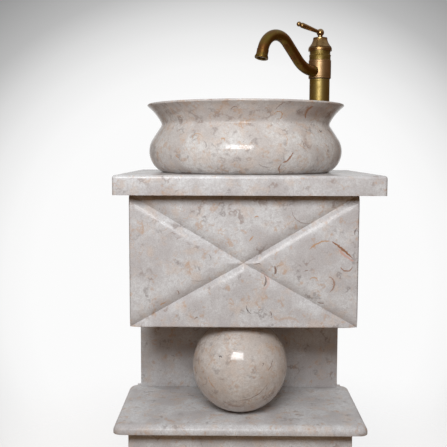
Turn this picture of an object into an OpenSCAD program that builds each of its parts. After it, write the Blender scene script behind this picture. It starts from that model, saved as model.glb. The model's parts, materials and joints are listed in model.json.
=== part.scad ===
// Stone pedestal basin. A turned bowl stands on a counter slab, which lies on a box with a carved
// front. The box is carried by a stone ball and a set-back column that stand on a shelf and a plinth.
// A tall lever tap with a swinging spout stands on the slab, and the waste and trap hang in the box.
// The origin is on the floor, midway between the stone's outermost sides. +Z is up and the
// front faces -Y.

/* [Counter slab] */
// Width of the counter slab
slab_w = 520; // [500:1:560]
// Depth of the counter slab
slab_d = 466; // [452:1:500]
// Thickness of the counter slab
slab_t = 38; // [30:1:48]
// Rounding of the slab's top edge and upright corners
slab_edge_r = 6; // [2:0.5:10]

/* [Stone boxes] */
// Width of the upper box, the column and the plinth
box_w = 447; // [420:1:460]
// How far the upper box stands to the right of the slab's middle
upper_x = -9.5; // [-14:0.5:0]
// How far the column, shelf and plinth stand to the right of the slab's middle
lower_x = -15; // [-20:0.5:0]
// Front face of the upper box and the plinth
box_front_y = -198; // [-206:1:-190]
// Rear edge of the side panels
box_back_y = 213; // [200:1:220]
// Thickness of the plain stone panels
panel_t = 20; // [16:1:24]
// Height of the upper box
upper_h = 262; // [255:1:290]
// Height of the plinth
plinth_h = 250; // [180:5:320]

/* [Carved front panel] */
// Thickness of the carved panel at its face
carved_t = 30; // [26:1:36]
// Depth of the crossing grooves
groove_depth = 8; // [5:0.5:12]
// Width of the rounded shoulder on each side of a groove
shoulder_w = 20; // [14:1:28]
// Rounding of the box's front edges
panel_edge_r = 3; // [1:0.5:5]

/* [Shelf and ball] */
// Clear height between the shelf and the upper box
gap_h = 190; // [170:1:194]
// Thickness of the shelf
shelf_t = 18; // [16:1:26]
// Width of the shelf
shelf_w = 502; // [470:1:510]
// Front edge of the shelf
shelf_front_y = -226; // [-232:1:-216]
// Rounding of the shelf's top edge
shelf_edge_r = 14; // [8:1:15]
// Rounding of the shelf's corners, seen from above
shelf_corner_r = 18; // [16:1:24]
// Front face of the column
column_front_y = 23; // [10:1:40]
// How far the ball is ground flat at the top and the bottom
ball_flat = 2.7; // [1:0.1:5]
// Place of the ball's middle, front to back
ball_y = -120; // [-126:1:-100]
// Radius of the steel dowels in the ball
dowel_r = 6; // [4:0.5:9]
// Depth of a dowel in the ball
dowel_in_ball = 34; // [20:1:50]
// Depth of a dowel in the shelf or the soffit
dowel_in_slab = 12; // [8:1:15]

/* [Bowl] */
// How far the bowl's middle lies to the right of the slab's middle
bowl_x = -4; // [-10:1:4]
// Height of the bowl
bowl_h = 144; // [138:1:154]
// Largest radius of the belly
belly_r = 208.5; // [200:0.5:212]
// Height of the belly's widest ring
belly_z = 44; // [40:1:46]
// Radius of the belly's curve
belly_curve_r = 49; // [48:0.5:52]
// Radius of the neck
neck_r = 180.5; // [176:0.5:186]
// Height of the neck
neck_z = 101; // [98:0.5:104]
// Lean of the flare where it leaves the neck, from upright
flare_lean = 25; // [18:1:30]
// Outer radius of the lip
lip_r = 212; // [208:0.5:214]
// Radius of the lip's rounded nose
lip_nose_r = 2.5; // [1.5:0.1:4]
// Thickness of the wall at the neck
bowl_wall = 16; // [12:0.5:20]
// Thickness of the floor beside the drain
bowl_floor_t = 24; // [20:0.5:30]
// Radius of the curve between the floor and the wall
basin_curve_r = 62; // [50:1:66]
// Fall of the floor towards the drain
floor_slope = 3; // [1:0.5:5]
// Thickness of the sealant bed under the bowl
sealant_t = 1; // [0.6:0.1:2]

/* [Waste] */
// Outer radius of the waste's threaded tube
waste_r = 22; // [21:0.5:24]
// Bore radius of the waste
waste_bore_r = 18.5; // [17:0.5:19]
// Radius of the waste's flange
flange_r = 31.5; // [30:0.5:36]
// Thickness of the flange
flange_t = 2.5; // [2:0.5:4]
// Depth of the flange's recess in the bowl
flange_recess = 4; // [3:0.5:6]
// Thickness of the rubber ring under the flange
flange_seal_t = 1.5; // [1:0.5:2.5]
// How far the waste hangs below the slab
waste_drop = 30; // [28:1:40]
// Radius of the plug's cap
plug_r = 29; // [27:0.5:29.5]
// How far the plug rises when it is opened
plug_travel = 8; // [5:0.5:10]
// Radius of the plug's spindle
spindle_r = 4; // [3:0.5:5]

/* [Bottle trap] */
// Outer radius of the trap's tubes
trap_tube_r = 16; // [15:0.5:16.5]
// Wall of the trap's tubes
trap_tube_wall = 1.5; // [1:0.25:2.5]
// Outer radius of the trap's body
trap_r = 32; // [31:0.5:38]
// Wall of the trap's body and cup
trap_wall = 4; // [3:0.5:5]
// Height of the trap's body
trap_head_h = 46; // [44:1:56]
// Height of the trap's cup
cup_h = 84; // [70:1:90]
// How far the outlet pipe stops short of the slab's rear edge
pipe_setback = 5; // [2:1:30]

/* [Tap] */
// How far the tap stands inside the upper box's right panel
tap_inset = 17; // [12:1:22]
// Place of the tap, front to back
tap_y = 175; // [170:1:184]
// Outer radius of the column
column_r = 24; // [23:0.5:26]
// Wall of the column
column_wall = 3.5; // [2.5:0.25:4]
// Height of the column above the slab
column_h = 218; // [180:1:260]
// Radius of the ring at the column's foot
base_ring_r = 30; // [28:0.5:34]
// Height of the ring at the column's foot
base_ring_h = 9; // [6:0.5:14]
// Outer radius of the spout's sleeve
sleeve_r = 26.7; // [25.5:0.1:28]
// Height of the spout's sleeve
sleeve_h = 43; // [42:0.1:52]
// Height of the ring that holds the sleeve down
retaining_h = 21; // [12:0.5:22]
// Radius of the bonnet's flange
bonnet_flange_r = 28; // [26.5:0.1:30]
// Height of the bonnet
bonnet_h = 32; // [32:0.5:38]
// Radius of the bonnet's flat top
bonnet_top_r = 16; // [15:0.1:18]
// Outer radius of the threaded shank
shank_r = 16; // [15.5:0.5:16.5]
// How far the shank hangs below the slab
shank_drop = 26; // [24:1:34]
// Outer radius of the supply tails
tail_r = 5; // [4:0.5:5.5]
// How far the supply tails hang below the slab
tail_drop = 120; // [60:5:200]

/* [Spout] */
// Outer radius of the spout's tube
spout_r = 12.5; // [10.5:0.5:13]
// Wall of the spout's tube
spout_wall = 1.8; // [1.2:0.2:2.4]
// Height of the spout's root above the sleeve's bottom
spout_root_z = 16.3; // [15.5:0.1:20]
// Radius of the rising bend
rise_bend_r = 79; // [70:1:120]
// Angle of the rising stretch
rise_angle = 43; // [35:1:55]
// Length of the rising straight stretch
rise_length = 52; // [20:1:60]
// Radius of the bend over the top
top_bend_r = 48; // [34:1:50]
// Angle below level at which the outlet points
drop_angle = 75; // [70:1:90]
// Length of the outlet's straight end
outlet_length = 21; // [20:1:40]
// Outer radius of the outlet's collar
collar_r = 13.2; // [13:0.1:14]
// Outer radius of the outlet's lip
lip_ring_r = 15; // [14.6:0.1:17]

/* [Lever] */
// Radius of the ball on top of the tap
hub_r = 9; // [7.5:0.1:9.5]
// Height of the ball's middle above the bonnet
hub_z = 12; // [12:0.5:18]
// Radius of the collar under the ball
hub_collar_r = 6; // [5.2:0.1:6]
// Slope of the lever at rest
lever_slope = 8; // [5:1:25]
// Length of the lever, from the ball's middle to the tip
lever_length = 84; // [60:1:95]
// Radius of the lever beside the ball
lever_root_r = 4.2; // [3:0.1:4.2]
// Radius of the lever at its thickest
lever_swell_r = 6.2; // [5:0.1:7]
// Radius of the bead at the lever's tip
lever_bead_r = 5.8; // [4:0.1:6.5]
// How far the lever lifts
lift_angle = 18; // [10:1:18]
// Radius of the lever's stem
stem_r = 4; // [3:0.1:4]
// Radius of the pin that the stem tilts on
pin_r = 1.5; // [1:0.1:1.6]

/* [Hidden] */
$fn = 96;

stone = "#cbc5bf";
warm_stone = "#c4b5a8";
antique_brass = "#8a6a24";
plain_brass = "#b8923e";
steel = "#b4b8bc";
black_rubber = "#2b2b2b";
white_plastic = "#e4e2dc";
copper = "#b06a3c";

// Clearances and small allowances
overshoot = 1;          // how far a cutting shape runs past the face it cuts
seat_gap = 0.3;         // between pieces that move past each other
running_gap = 0.06;     // round a shaft that turns in its bore
thread_gap = 0.05;      // between a thread and what it screws into
hole_gap = 1;           // round a tube that passes through stone

// Places side to side, with the stone's outermost sides equally far from the origin
left_reach = min(-slab_w / 2, lower_x - shelf_w / 2);
right_reach = max(slab_w / 2, lower_x + shelf_w / 2);
slab_centre_x = -(left_reach + right_reach) / 2;
box_centre_x = slab_centre_x + upper_x;
base_centre_x = slab_centre_x + lower_x;
bowl_axis_x = slab_centre_x + bowl_x;
tap_axis_x = box_centre_x + box_w / 2 - panel_t - tap_inset;

// Heights of the stone, from the floor up
shelf_top = plinth_h + shelf_t;
upper_bottom = shelf_top + gap_h;
slab_bottom = upper_bottom + upper_h;
slab_top = slab_bottom + slab_t;
bowl_base = slab_top + sealant_t;
soffit_top = upper_bottom + panel_t;
column_rear_y = column_front_y + panel_t;
carved_rear_y = box_front_y + carved_t;
groove_corner_gap = 0.6;  // from a corner to where the bottom of a groove leaves the side
ball_r = gap_h / 2 + ball_flat;
ball_z = shelf_top + gap_h / 2;

// The bowl's outline, as radius and height above its foot
arc_steps = 14;
nose_steps = 6;
lip_lean = 50;
nose_end_angle = 104;
nose_step = (nose_end_angle + lip_lean) / nose_steps;
belly_centre = [belly_r - belly_curve_r, belly_z];
foot_angle = -asin(belly_z / belly_curve_r);
neck_point = [neck_r, neck_z];
belly_to_neck = neck_point - belly_centre;
belly_end_angle = atan2(belly_to_neck.y, belly_to_neck.x) - acos(belly_curve_r / norm(belly_to_neck));
nose_centre = [lip_r - lip_nose_r, bowl_h - lip_nose_r];
flare_chord = nose_centre + lip_nose_r * [cos(lip_lean), -sin(lip_lean)] - neck_point;
flare_half_turn = atan2(flare_chord.x, flare_chord.y) - flare_lean;
flare_r = norm(flare_chord) / (2 * sin(flare_half_turn));
flare_centre = neck_point + flare_r * [cos(flare_lean), -sin(flare_lean)];
inner_r = neck_r - bowl_wall;
recess_r = flange_r + hole_gap;
floor_rim_r = inner_r - basin_curve_r + basin_curve_r * sin(floor_slope);
inner_z = bowl_floor_t + (floor_rim_r - recess_r) * tan(floor_slope)
    + basin_curve_r * cos(floor_slope);
inner_chord = nose_centre + lip_nose_r * [cos(nose_end_angle), sin(nose_end_angle)]
    - [inner_r, inner_z];
inner_half_turn = atan2(inner_chord.x, inner_chord.y);
inner_flare_r = norm(inner_chord) / (2 * sin(inner_half_turn));

// The waste, from the bowl's drain down
waste_hole_r = waste_r + hole_gap;
drain_seat = bowl_base + bowl_floor_t - flange_recess;
flange_bottom = drain_seat + flange_seal_t;
flange_top = flange_bottom + flange_t;
waste_end = slab_bottom - waste_drop;
waste_nut_h = 10;
waste_nut_flats = 2 * waste_r + 12;
under_seal_t = 3;
guide_h = 10;
guide_drop = 26;
guide_top = flange_top - guide_drop;
guide_bottom = guide_top - guide_h;
guide_hub_r = spindle_r + 3.5;
guide_spoke_w = 2.5;
guide_step = 1;
plug_edge_t = 2;
plug_dome_h = 3;
plug_boss_h = 9;
plug_boss_r = waste_bore_r - 2;
plug_bottom = flange_top + seat_gap;
plug_seal_section_r = 1.8;
plug_seal_r = waste_bore_r - seat_gap - plug_seal_section_r;
plug_seal_drop = 5;
spindle_grip = 6;
stop_collar_r = spindle_r + 2.2;
stop_collar_h = 4;
stop_collar_top = guide_bottom - plug_travel - seat_gap;
spindle_bottom = stop_collar_top - stop_collar_h - 3;

// The bottle trap, from the waste's lower end down
coupling_seal_t = 3;
coupling_flange_t = 2;
coupling_lip_t = 5;
coupling_grip = 10;
coupling_seal_bottom = waste_end - coupling_seal_t;
coupling_shoulder = coupling_seal_bottom - coupling_flange_t;
gland_boss_r = trap_tube_r + 4;
gland_boss_h = 16;
gland_seal_r = trap_tube_r + 2.5;
gland_seal_t = 5;
gland_recess = 4;
gland_grip = 13;
gland_lip_t = 4;
gland_flats = 2 * gland_boss_r + 6;
trap_boss_top = coupling_shoulder - coupling_lip_t - 12;
trap_head_top = trap_boss_top - gland_boss_h;
trap_head_bottom = trap_head_top - trap_head_h;
trap_bore_r = trap_r - trap_wall;
trap_outlet_z = trap_head_top - trap_wall - trap_tube_r - 4;
trap_outlet_y = trap_r + gland_boss_h;
cup_seal_t = 2;
cup_neck_h = 8;
cup_top = trap_head_bottom - cup_seal_t;
cup_bottom = cup_top - cup_h;
cup_bore_r = trap_bore_r - trap_wall;
cup_edge_r = 8;
dip_end = cup_bottom + 38;
pipe_end_y = slab_d / 2 - pipe_setback;
pipe_grip = 12;
pipe_spigot_r = trap_tube_r - 0.25;
pipe_shoulder = gland_seal_t - gland_recess + gland_lip_t + seat_gap;

// The tap, from the counter up
tap_aim = atan2(-tap_y, bowl_axis_x - tap_axis_x);
gasket_t = 1.5;
column_bottom = slab_top + gasket_t;
column_top = slab_top + column_h;
column_bore_r = column_r - column_wall;
column_foot_t = 10;
base_ring_step = 3;
tap_hole_r = shank_r + 1.5;
shank_bore_r = shank_r - 3.5;
shank_bottom = slab_bottom - shank_drop;
fixing_r = shank_r + 8;
fixing_gasket_t = 2;
fixing_washer_t = 2;
fixing_nut_h = 12;
fixing_nut_flats = 2 * shank_r + 9;
fixing_relief_r = fixing_r + 2;
tail_spacing = tail_r + 1.2;
tail_wall = 1;
tail_spigot_r = tail_r - 0.25;
tail_grip = 12;
tail_bottom = slab_bottom - tail_drop;
glide_t = 1;
sleeve_bottom = column_top + glide_t + seat_gap;
sleeve_top = sleeve_bottom + sleeve_h;
retaining_bottom = sleeve_top + seat_gap;
retaining_top = retaining_bottom + retaining_h;
retaining_r = sleeve_r - 0.6;
core_r = column_bore_r - 0.5;
plug_in_column = 28;
valve_bottom = column_top - plug_in_column;
valve_top = retaining_top + 8;
cartridge_r = 17.5;
clamp_r = cartridge_r + 1;
clamp_h = 7;
cartridge_neck_r = 12.4;
cartridge_neck_top = retaining_top + 9;
port_z = sleeve_bottom + spout_root_z;
port_r = 4;
port_groove_h = 10;
port_groove_depth = 2;
seal_section_r = 1.2;
lower_seal_z = sleeve_bottom + 4;
upper_seal_z = port_z + spout_r - spout_wall + 2;
pocket_floor = upper_seal_z + 2.5;
bonnet_top = retaining_top + bonnet_h;
bonnet_flange_h = 9;
bonnet_shell = 2.6;
bonnet_roof_t = 4;

// The lever, from the cartridge up
pivot_z = bonnet_top - 9;
rotor_r = 10;
rotor_bottom = cartridge_neck_top + seat_gap;
rotor_top = pivot_z + 3.5;
slot_floor = pivot_z - 11;
slot_w = 2 * (stem_r + seat_gap);
stem_bottom = pivot_z - 8.5;
hub_centre_z = bonnet_top + hub_z;
hub_collar_bottom = bonnet_top + 2.5;
bonnet_hole_r = hub_collar_r * cos(lift_angle)
    + (hub_collar_bottom - pivot_z) * sin(lift_angle) + 2 * seat_gap;
stem_top = hub_centre_z + 1;
hub_spot = sqrt(pow(hub_r, 2) - pow(lever_root_r + 0.4, 2));
arm_spigot_r = 2.5;
arm_spigot_length = 2.6;
bead_x = lever_length - lever_bead_r;
swell_x = bead_x - 12;
bead_neck_r = 2.4;
grub_r = 2;
grub_length = 3;

// The spout's path, as distance from the tap's axis and height above the spout's root
spout_start = sleeve_r - 4.2;
spout_bend_start = sleeve_r;
rise_centre = [spout_bend_start, rise_bend_r];
rise_end = rise_centre + rise_bend_r * [sin(rise_angle), -cos(rise_angle)];
top_start = rise_end + rise_length * [cos(rise_angle), sin(rise_angle)];
top_centre = top_start + top_bend_r * [sin(rise_angle), -cos(rise_angle)];
outlet_start = top_centre + top_bend_r * [sin(drop_angle), cos(drop_angle)];
seam_l = 1;
seam_gap = 0.1;
seam_proud = 0.15;
spigot_length = 10;
spigot_r = spout_r - 0.7;
lip_ring_h = 5;
insert_h = 6;

// Points on an arc round a centre, from one angle to another
function arc_points(centre, r, from, to, steps) =
    [for (i = [0:steps]) centre + r * [cos(from + (to - from) * i / steps),
        sin(from + (to - from) * i / steps)]];

// Shared shapes

// A ring that stands on the XY plane
module ring(outer_r, inner_r, h) {
    difference() {
        cylinder(h = h, r = outer_r);
        translate([0, 0, -overshoot])
            cylinder(h = h + 2 * overshoot, r = inner_r);
    }
}

// A tube that stands on the XY plane, with its upper end turned down to a shoulder
module shouldered_tube(r, end_r, bore_r, h, end_h) {
    difference() {
        union() {
            cylinder(h = h - end_h, r = r);
            translate([0, 0, h - end_h - overshoot])
                cylinder(h = end_h + overshoot, r = end_r);
        }
        translate([0, 0, -overshoot])
            cylinder(h = h + 2 * overshoot, r = bore_r);
    }
}

// A round rubber ring, with its middle on the XY plane
module o_ring(r, section_r) {
    rotate_extrude()
        translate([r, 0])
            circle(r = section_r, $fn = 32);
}

// A six-sided nut that stands on the XY plane
module hex_nut(flats, bore_r, h) {
    difference() {
        cylinder(h = h, r = flats / sqrt(3), $fn = 6);
        translate([0, 0, -overshoot])
            cylinder(h = h + 2 * overshoot, r = bore_r);
    }
}

// What lies outside a quarter round, with the sharp corner at the origin
module edge_profile(r) {
    difference() {
        translate([-r, -r])
            square(r + overshoot);
        translate([-r, -r])
            circle(r = r);
    }
}

// Cuts a quarter round along X, off the edge where the top meets the face at +Y
module edge_cut(length, r) {
    rotate([90, 0, 90])
        linear_extrude(height = length, center = true)
            edge_profile(r);
}

// A slab that stands on the XY plane, with round corners in plan and a rounded top edge
module rounded_slab(w, d, t, corner_r, edge_r, rear_edge) {
    first_side = rear_edge ? 0 : 1;
    difference() {
        linear_extrude(height = t)
            difference() {
                square([w, d], center = true);
                for (side = [0:3])
                    rotate(90 * side)
                        translate([(side % 2 == 0 ? w : d) / 2, (side % 2 == 0 ? d : w) / 2])
                            edge_profile(corner_r);
            }
        for (side = [first_side:3])
            rotate([0, 0, 90 * side])
                translate([0, (side % 2 == 0 ? d : w) / 2, t])
                    edge_cut((side % 2 == 0 ? w : d) - 2 * corner_r, edge_r);
        for (side = [0:3])
            rotate([0, 0, 90 * side])
                translate([(side % 2 == 0 ? w : d) / 2 - corner_r,
                    (side % 2 == 0 ? d : w) / 2 - corner_r, t])
                    rotate_extrude(angle = 90)
                        translate([corner_r, 0])
                            edge_profile(edge_r);
    }
}

// A plain stone panel between two corners
module panel(low, high) {
    translate(low)
        cube(high - low);
}

// Moves to the bowl's axis at a height
module at_bowl(z) {
    translate([bowl_axis_x, 0, z])
        children();
}

// Moves to the tap's axis at a height, with +X towards the bowl
module at_tap(z) {
    translate([tap_axis_x, tap_y, z])
        rotate([0, 0, tap_aim])
            children();
}

// Stone

module counter_slab() {
    color(stone)
        difference() {
            translate([slab_centre_x, 0, slab_bottom])
                rounded_slab(slab_w, slab_d, slab_t, slab_edge_r, slab_edge_r, true);
            at_bowl(slab_bottom - overshoot)
                cylinder(h = slab_t + 2 * overshoot, r = waste_hole_r);
            at_tap(slab_bottom - overshoot)
                cylinder(h = slab_t + 2 * overshoot, r = tap_hole_r);
        }
}

// The cutting shape for one groove: a wedge whose sides are round shoulders
module groove_profile() {
    shoulder_r = (shoulder_w * shoulder_w + groove_depth * groove_depth) / (2 * groove_depth);
    difference() {
        translate([-shoulder_w, -overshoot])
            square([2 * shoulder_w, groove_depth + overshoot]);
        for (side = [-1, 1])
            translate([side * shoulder_w, shoulder_r])
                circle(r = shoulder_r);
    }
}

// Two grooves cross from corner to corner and leave four cushioned triangles
module carved_front_panel() {
    diagonal = norm([box_w, upper_h]);
    diagonal_lean = atan2(box_w, upper_h - 2 * groove_corner_gap);
    color(stone)
        difference() {
            panel([box_centre_x - box_w / 2, box_front_y, upper_bottom],
                [box_centre_x + box_w / 2, carved_rear_y, slab_bottom]);
            for (side = [-1, 1])
                translate([box_centre_x, box_front_y, (upper_bottom + slab_bottom) / 2])
                    rotate([0, side * diagonal_lean, 0])
                        linear_extrude(height = diagonal + 4 * shoulder_w, center = true)
                            groove_profile();
            translate([box_centre_x, box_front_y, upper_bottom])
                rotate([180, 0, 0])
                    edge_cut(box_w + 2 * overshoot, panel_edge_r);
            for (side = [-1, 1])
                translate([box_centre_x + side * box_w / 2, box_front_y,
                    (upper_bottom + slab_bottom) / 2])
                    rotate([90, side * 90, 0])
                        edge_cut(upper_h + 2 * overshoot, panel_edge_r);
        }
}

// A side panel of the upper box. The right one is hollowed for the tap's fixing.
module upper_side_panel(side) {
    outer_x = box_centre_x + side * box_w / 2;
    inner_x = outer_x - side * panel_t;
    color(stone)
        difference() {
            panel([min(outer_x, inner_x), carved_rear_y, upper_bottom],
                [max(outer_x, inner_x), box_back_y, slab_bottom]);
            at_tap(shank_bottom)
                cylinder(h = shank_drop + overshoot, r = fixing_relief_r);
        }
}

module upper_left_panel() {
    upper_side_panel(-1);
}

module upper_right_panel() {
    upper_side_panel(1);
}

// The upper box's floor, which rests on the ball and the column
module upper_soffit() {
    half_w = box_w / 2 - panel_t;
    color(stone)
        difference() {
            panel([box_centre_x - half_w, carved_rear_y, upper_bottom],
                [box_centre_x + half_w, box_back_y, soffit_top]);
            translate([base_centre_x, ball_y, upper_bottom - overshoot])
                cylinder(h = dowel_in_slab + overshoot, r = dowel_r);
        }
}

module column_front_panel() {
    color(stone)
        panel([base_centre_x - box_w / 2, column_front_y, shelf_top],
            [base_centre_x + box_w / 2, column_rear_y, upper_bottom]);
}

module column_side_panel(side) {
    outer_x = base_centre_x + side * box_w / 2;
    inner_x = outer_x - side * panel_t;
    color(stone)
        panel([min(outer_x, inner_x), column_rear_y, plinth_h],
            [max(outer_x, inner_x), box_back_y, upper_bottom]);
}

module column_left_panel() {
    column_side_panel(-1);
}

module column_right_panel() {
    column_side_panel(1);
}

module shelf_slab() {
    shelf_d = column_rear_y - shelf_front_y;
    color(stone)
        difference() {
            translate([base_centre_x, shelf_front_y + shelf_d / 2, plinth_h])
                rounded_slab(shelf_w, shelf_d, shelf_t, shelf_corner_r, shelf_edge_r, false);
            translate([base_centre_x, ball_y, shelf_top - dowel_in_slab])
                cylinder(h = dowel_in_slab + overshoot, r = dowel_r);
        }
}

module plinth_front_panel() {
    color(stone)
        difference() {
            panel([base_centre_x - box_w / 2, box_front_y, 0],
                [base_centre_x + box_w / 2, box_front_y + panel_t, plinth_h]);
            for (side = [-1, 1])
                translate([base_centre_x + side * box_w / 2, box_front_y, plinth_h / 2])
                    rotate([90, side * 90, 0])
                        edge_cut(plinth_h + 2 * overshoot, panel_edge_r);
        }
}

module plinth_side_panel(side) {
    outer_x = base_centre_x + side * box_w / 2;
    inner_x = outer_x - side * panel_t;
    color(stone)
        panel([min(outer_x, inner_x), box_front_y + panel_t, 0],
            [max(outer_x, inner_x), box_back_y, plinth_h]);
}

module plinth_left_panel() {
    plinth_side_panel(-1);
}

module plinth_right_panel() {
    plinth_side_panel(1);
}

// A ball ground flat where it carries the box and where it stands on the shelf
module stone_ball() {
    color(warm_stone)
        translate([base_centre_x, ball_y, ball_z])
            difference() {
                sphere(r = ball_r);
                for (side = [-1, 1]) {
                    translate([0, 0, side * (gap_h / 2 + ball_r)])
                        cube(2 * ball_r, center = true);
                    translate([0, 0, side * (gap_h / 2 - dowel_in_ball / 2 + overshoot / 2)])
                        cylinder(h = dowel_in_ball + overshoot, r = dowel_r, center = true);
                }
            }
}

// Two steel dowels keep the ball from rolling
module ball_dowels() {
    color(steel)
        for (side = [-1, 1])
            translate([base_centre_x, ball_y,
                ball_z + side * (gap_h / 2 + (dowel_in_slab - dowel_in_ball) / 2)])
                cylinder(h = dowel_in_slab + dowel_in_ball, r = dowel_r, center = true);
}

// The bowl

function bowl_outline() = concat(
    [[waste_hole_r, 0]],
    arc_points(belly_centre, belly_curve_r, foot_angle, belly_end_angle, arc_steps),
    arc_points(flare_centre, flare_r, 180 - flare_lean, 180 - flare_lean - 2 * flare_half_turn,
        arc_steps),
    arc_points(nose_centre, lip_nose_r, nose_step - lip_lean, nose_end_angle - nose_step,
        nose_steps - 2),
    arc_points([inner_r + inner_flare_r, inner_z], inner_flare_r, 180 - 2 * inner_half_turn, 180,
        arc_steps),
    arc_points([inner_r - basin_curve_r, inner_z], basin_curve_r, -90 / arc_steps,
        floor_slope - 90, arc_steps),
    [[recess_r, bowl_floor_t], [recess_r, bowl_floor_t - flange_recess],
        [waste_hole_r, bowl_floor_t - flange_recess]]);

module basin_bowl() {
    color(warm_stone)
        at_bowl(bowl_base)
            rotate_extrude()
                polygon(bowl_outline());
}

// The bed of sealant that the bowl's foot is pressed into
module bowl_sealant() {
    foot_r = belly_centre.x + belly_curve_r * cos(foot_angle);
    color(white_plastic)
        at_bowl(slab_top)
            ring(foot_r - 4, foot_r - 44, sealant_t);
}

// Waste

module waste_body() {
    color(antique_brass)
        at_bowl(0)
            difference() {
                union() {
                    translate([0, 0, flange_bottom])
                        cylinder(h = flange_t, r = flange_r);
                    difference() {
                        translate([0, 0, waste_end])
                            cylinder(h = flange_top - waste_end, r = waste_r);
                        translate([0, 0, waste_end - overshoot])
                            cylinder(h = flange_top - waste_end, r = waste_bore_r);
                    }
                }
                translate([0, 0, guide_top])
                    cylinder(h = guide_drop + overshoot, r = waste_bore_r);
                translate([0, 0, flange_top - flange_t])
                    cylinder(h = flange_t + 0.01, r1 = waste_bore_r, r2 = waste_bore_r + flange_t);
            }
    color(antique_brass)
        at_bowl(guide_bottom)
            difference() {
                union() {
                    cylinder(h = guide_h, r = guide_hub_r);
                    for (turn = [0:120:240])
                        rotate([0, 0, turn])
                            translate([0, -guide_spoke_w / 2, guide_step])
                                cube([waste_bore_r + 1, guide_spoke_w, guide_h - 2 * guide_step]);
                }
                translate([0, 0, -overshoot])
                    cylinder(h = guide_h + 2 * overshoot, r = spindle_r + running_gap);
            }
}

module waste_flange_seal() {
    color(black_rubber)
        at_bowl(drain_seat)
            ring(flange_r - 0.5, waste_hole_r + 0.5, flange_seal_t);
}

// The cap that closes the waste, with a boss that carries its rubber ring
module waste_plug() {
    dome_r = (plug_r * plug_r + plug_dome_h * plug_dome_h) / (2 * plug_dome_h);
    dome_angle = acos(plug_r / dome_r);
    color(antique_brass)
        at_bowl(plug_bottom)
            difference() {
                union() {
                    rotate_extrude()
                        polygon(concat([[0, 0], [plug_r - 1, 0], [plug_r, 1]],
                            arc_points([0, plug_edge_t + plug_dome_h - dome_r], dome_r,
                                dome_angle, 90, arc_steps)));
                    translate([0, 0, -plug_boss_h])
                        cylinder(h = plug_boss_h + 0.5, r = plug_boss_r);
                }
                translate([0, 0, -plug_seal_drop])
                    o_ring(plug_seal_r, plug_seal_section_r + thread_gap);
                translate([0, 0, -plug_boss_h - overshoot])
                    cylinder(h = spindle_grip + overshoot, r = spindle_r + thread_gap);
            }
}

module plug_seal() {
    color(black_rubber)
        at_bowl(plug_bottom - plug_seal_drop)
            o_ring(plug_seal_r, plug_seal_section_r);
}

// The spindle slides in the waste's guide until its collar meets the guide
module plug_spindle() {
    spindle_top = plug_bottom - plug_boss_h + spindle_grip;
    color(steel)
        at_bowl(0) {
            translate([0, 0, spindle_bottom])
                cylinder(h = spindle_top - spindle_bottom, r = spindle_r);
            translate([0, 0, stop_collar_top - stop_collar_h])
                cylinder(h = stop_collar_h, r = stop_collar_r);
        }
}

module waste_under_seal() {
    color(black_rubber)
        at_bowl(slab_bottom - under_seal_t)
            ring(waste_nut_flats / 2, waste_r + 0.3, under_seal_t);
}

module waste_nut() {
    color(plain_brass)
        at_bowl(slab_bottom - under_seal_t - waste_nut_h)
            hex_nut(waste_nut_flats, waste_r + thread_gap, waste_nut_h);
}

// Bottle trap

// Couples the trap's tube to the waste's lower end
module coupling_nut() {
    color(plain_brass)
        at_bowl(coupling_shoulder - coupling_lip_t)
            difference() {
                hex_nut(2 * waste_r + 8, trap_tube_r + 0.2,
                    waste_end - coupling_shoulder + coupling_lip_t + coupling_grip);
                translate([0, 0, coupling_lip_t])
                    cylinder(h = waste_end - coupling_shoulder + coupling_grip + overshoot,
                        r = waste_r + thread_gap);
            }
}

module coupling_seal() {
    color(black_rubber)
        at_bowl(coupling_seal_bottom)
            ring(waste_r - 0.1, trap_tube_r + 0.3, coupling_seal_t);
}

module trap_dip_tube() {
    color(antique_brass)
        at_bowl(0)
            difference() {
                union() {
                    translate([0, 0, dip_end])
                        cylinder(h = coupling_seal_bottom - dip_end, r = trap_tube_r);
                    translate([0, 0, coupling_shoulder])
                        cylinder(h = coupling_flange_t, r = waste_r - 0.2);
                }
                translate([0, 0, dip_end - overshoot])
                    cylinder(h = coupling_seal_bottom - dip_end + 2 * overshoot,
                        r = trap_tube_r - trap_tube_wall);
            }
}

// Moves to the mouth of the trap's side outlet, with +Z along the outlet
module at_outlet() {
    translate([bowl_axis_x, trap_outlet_y, trap_outlet_z])
        rotate([-90, 0, 0])
            children();
}

// A nut that presses a rubber ring onto a tube, drawn from the mouth of its boss
module gland_nut(tube_r) {
    difference() {
        translate([0, 0, -gland_grip])
            hex_nut(gland_flats, tube_r + 0.2, gland_grip + gland_seal_t - gland_recess
                + gland_lip_t);
        translate([0, 0, -gland_grip - overshoot])
            cylinder(h = gland_grip + overshoot + gland_seal_t - gland_recess,
                r = gland_boss_r + thread_gap);
    }
}

module gland_seal(tube_r) {
    translate([0, 0, -gland_recess])
        ring(gland_seal_r - thread_gap, tube_r + thread_gap, gland_seal_t);
}

// The space inside a gland's boss, drawn from its mouth down
module gland_bore(tube_r, depth) {
    translate([0, 0, -depth])
        cylinder(h = depth + overshoot, r = tube_r + 0.3);
    translate([0, 0, -gland_recess])
        cylinder(h = gland_recess + overshoot, r = gland_seal_r);
}

module trap_inlet_nut() {
    color(plain_brass)
        at_bowl(trap_boss_top)
            gland_nut(trap_tube_r);
}

module trap_inlet_seal() {
    color(black_rubber)
        at_bowl(trap_boss_top)
            gland_seal(trap_tube_r);
}

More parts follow.
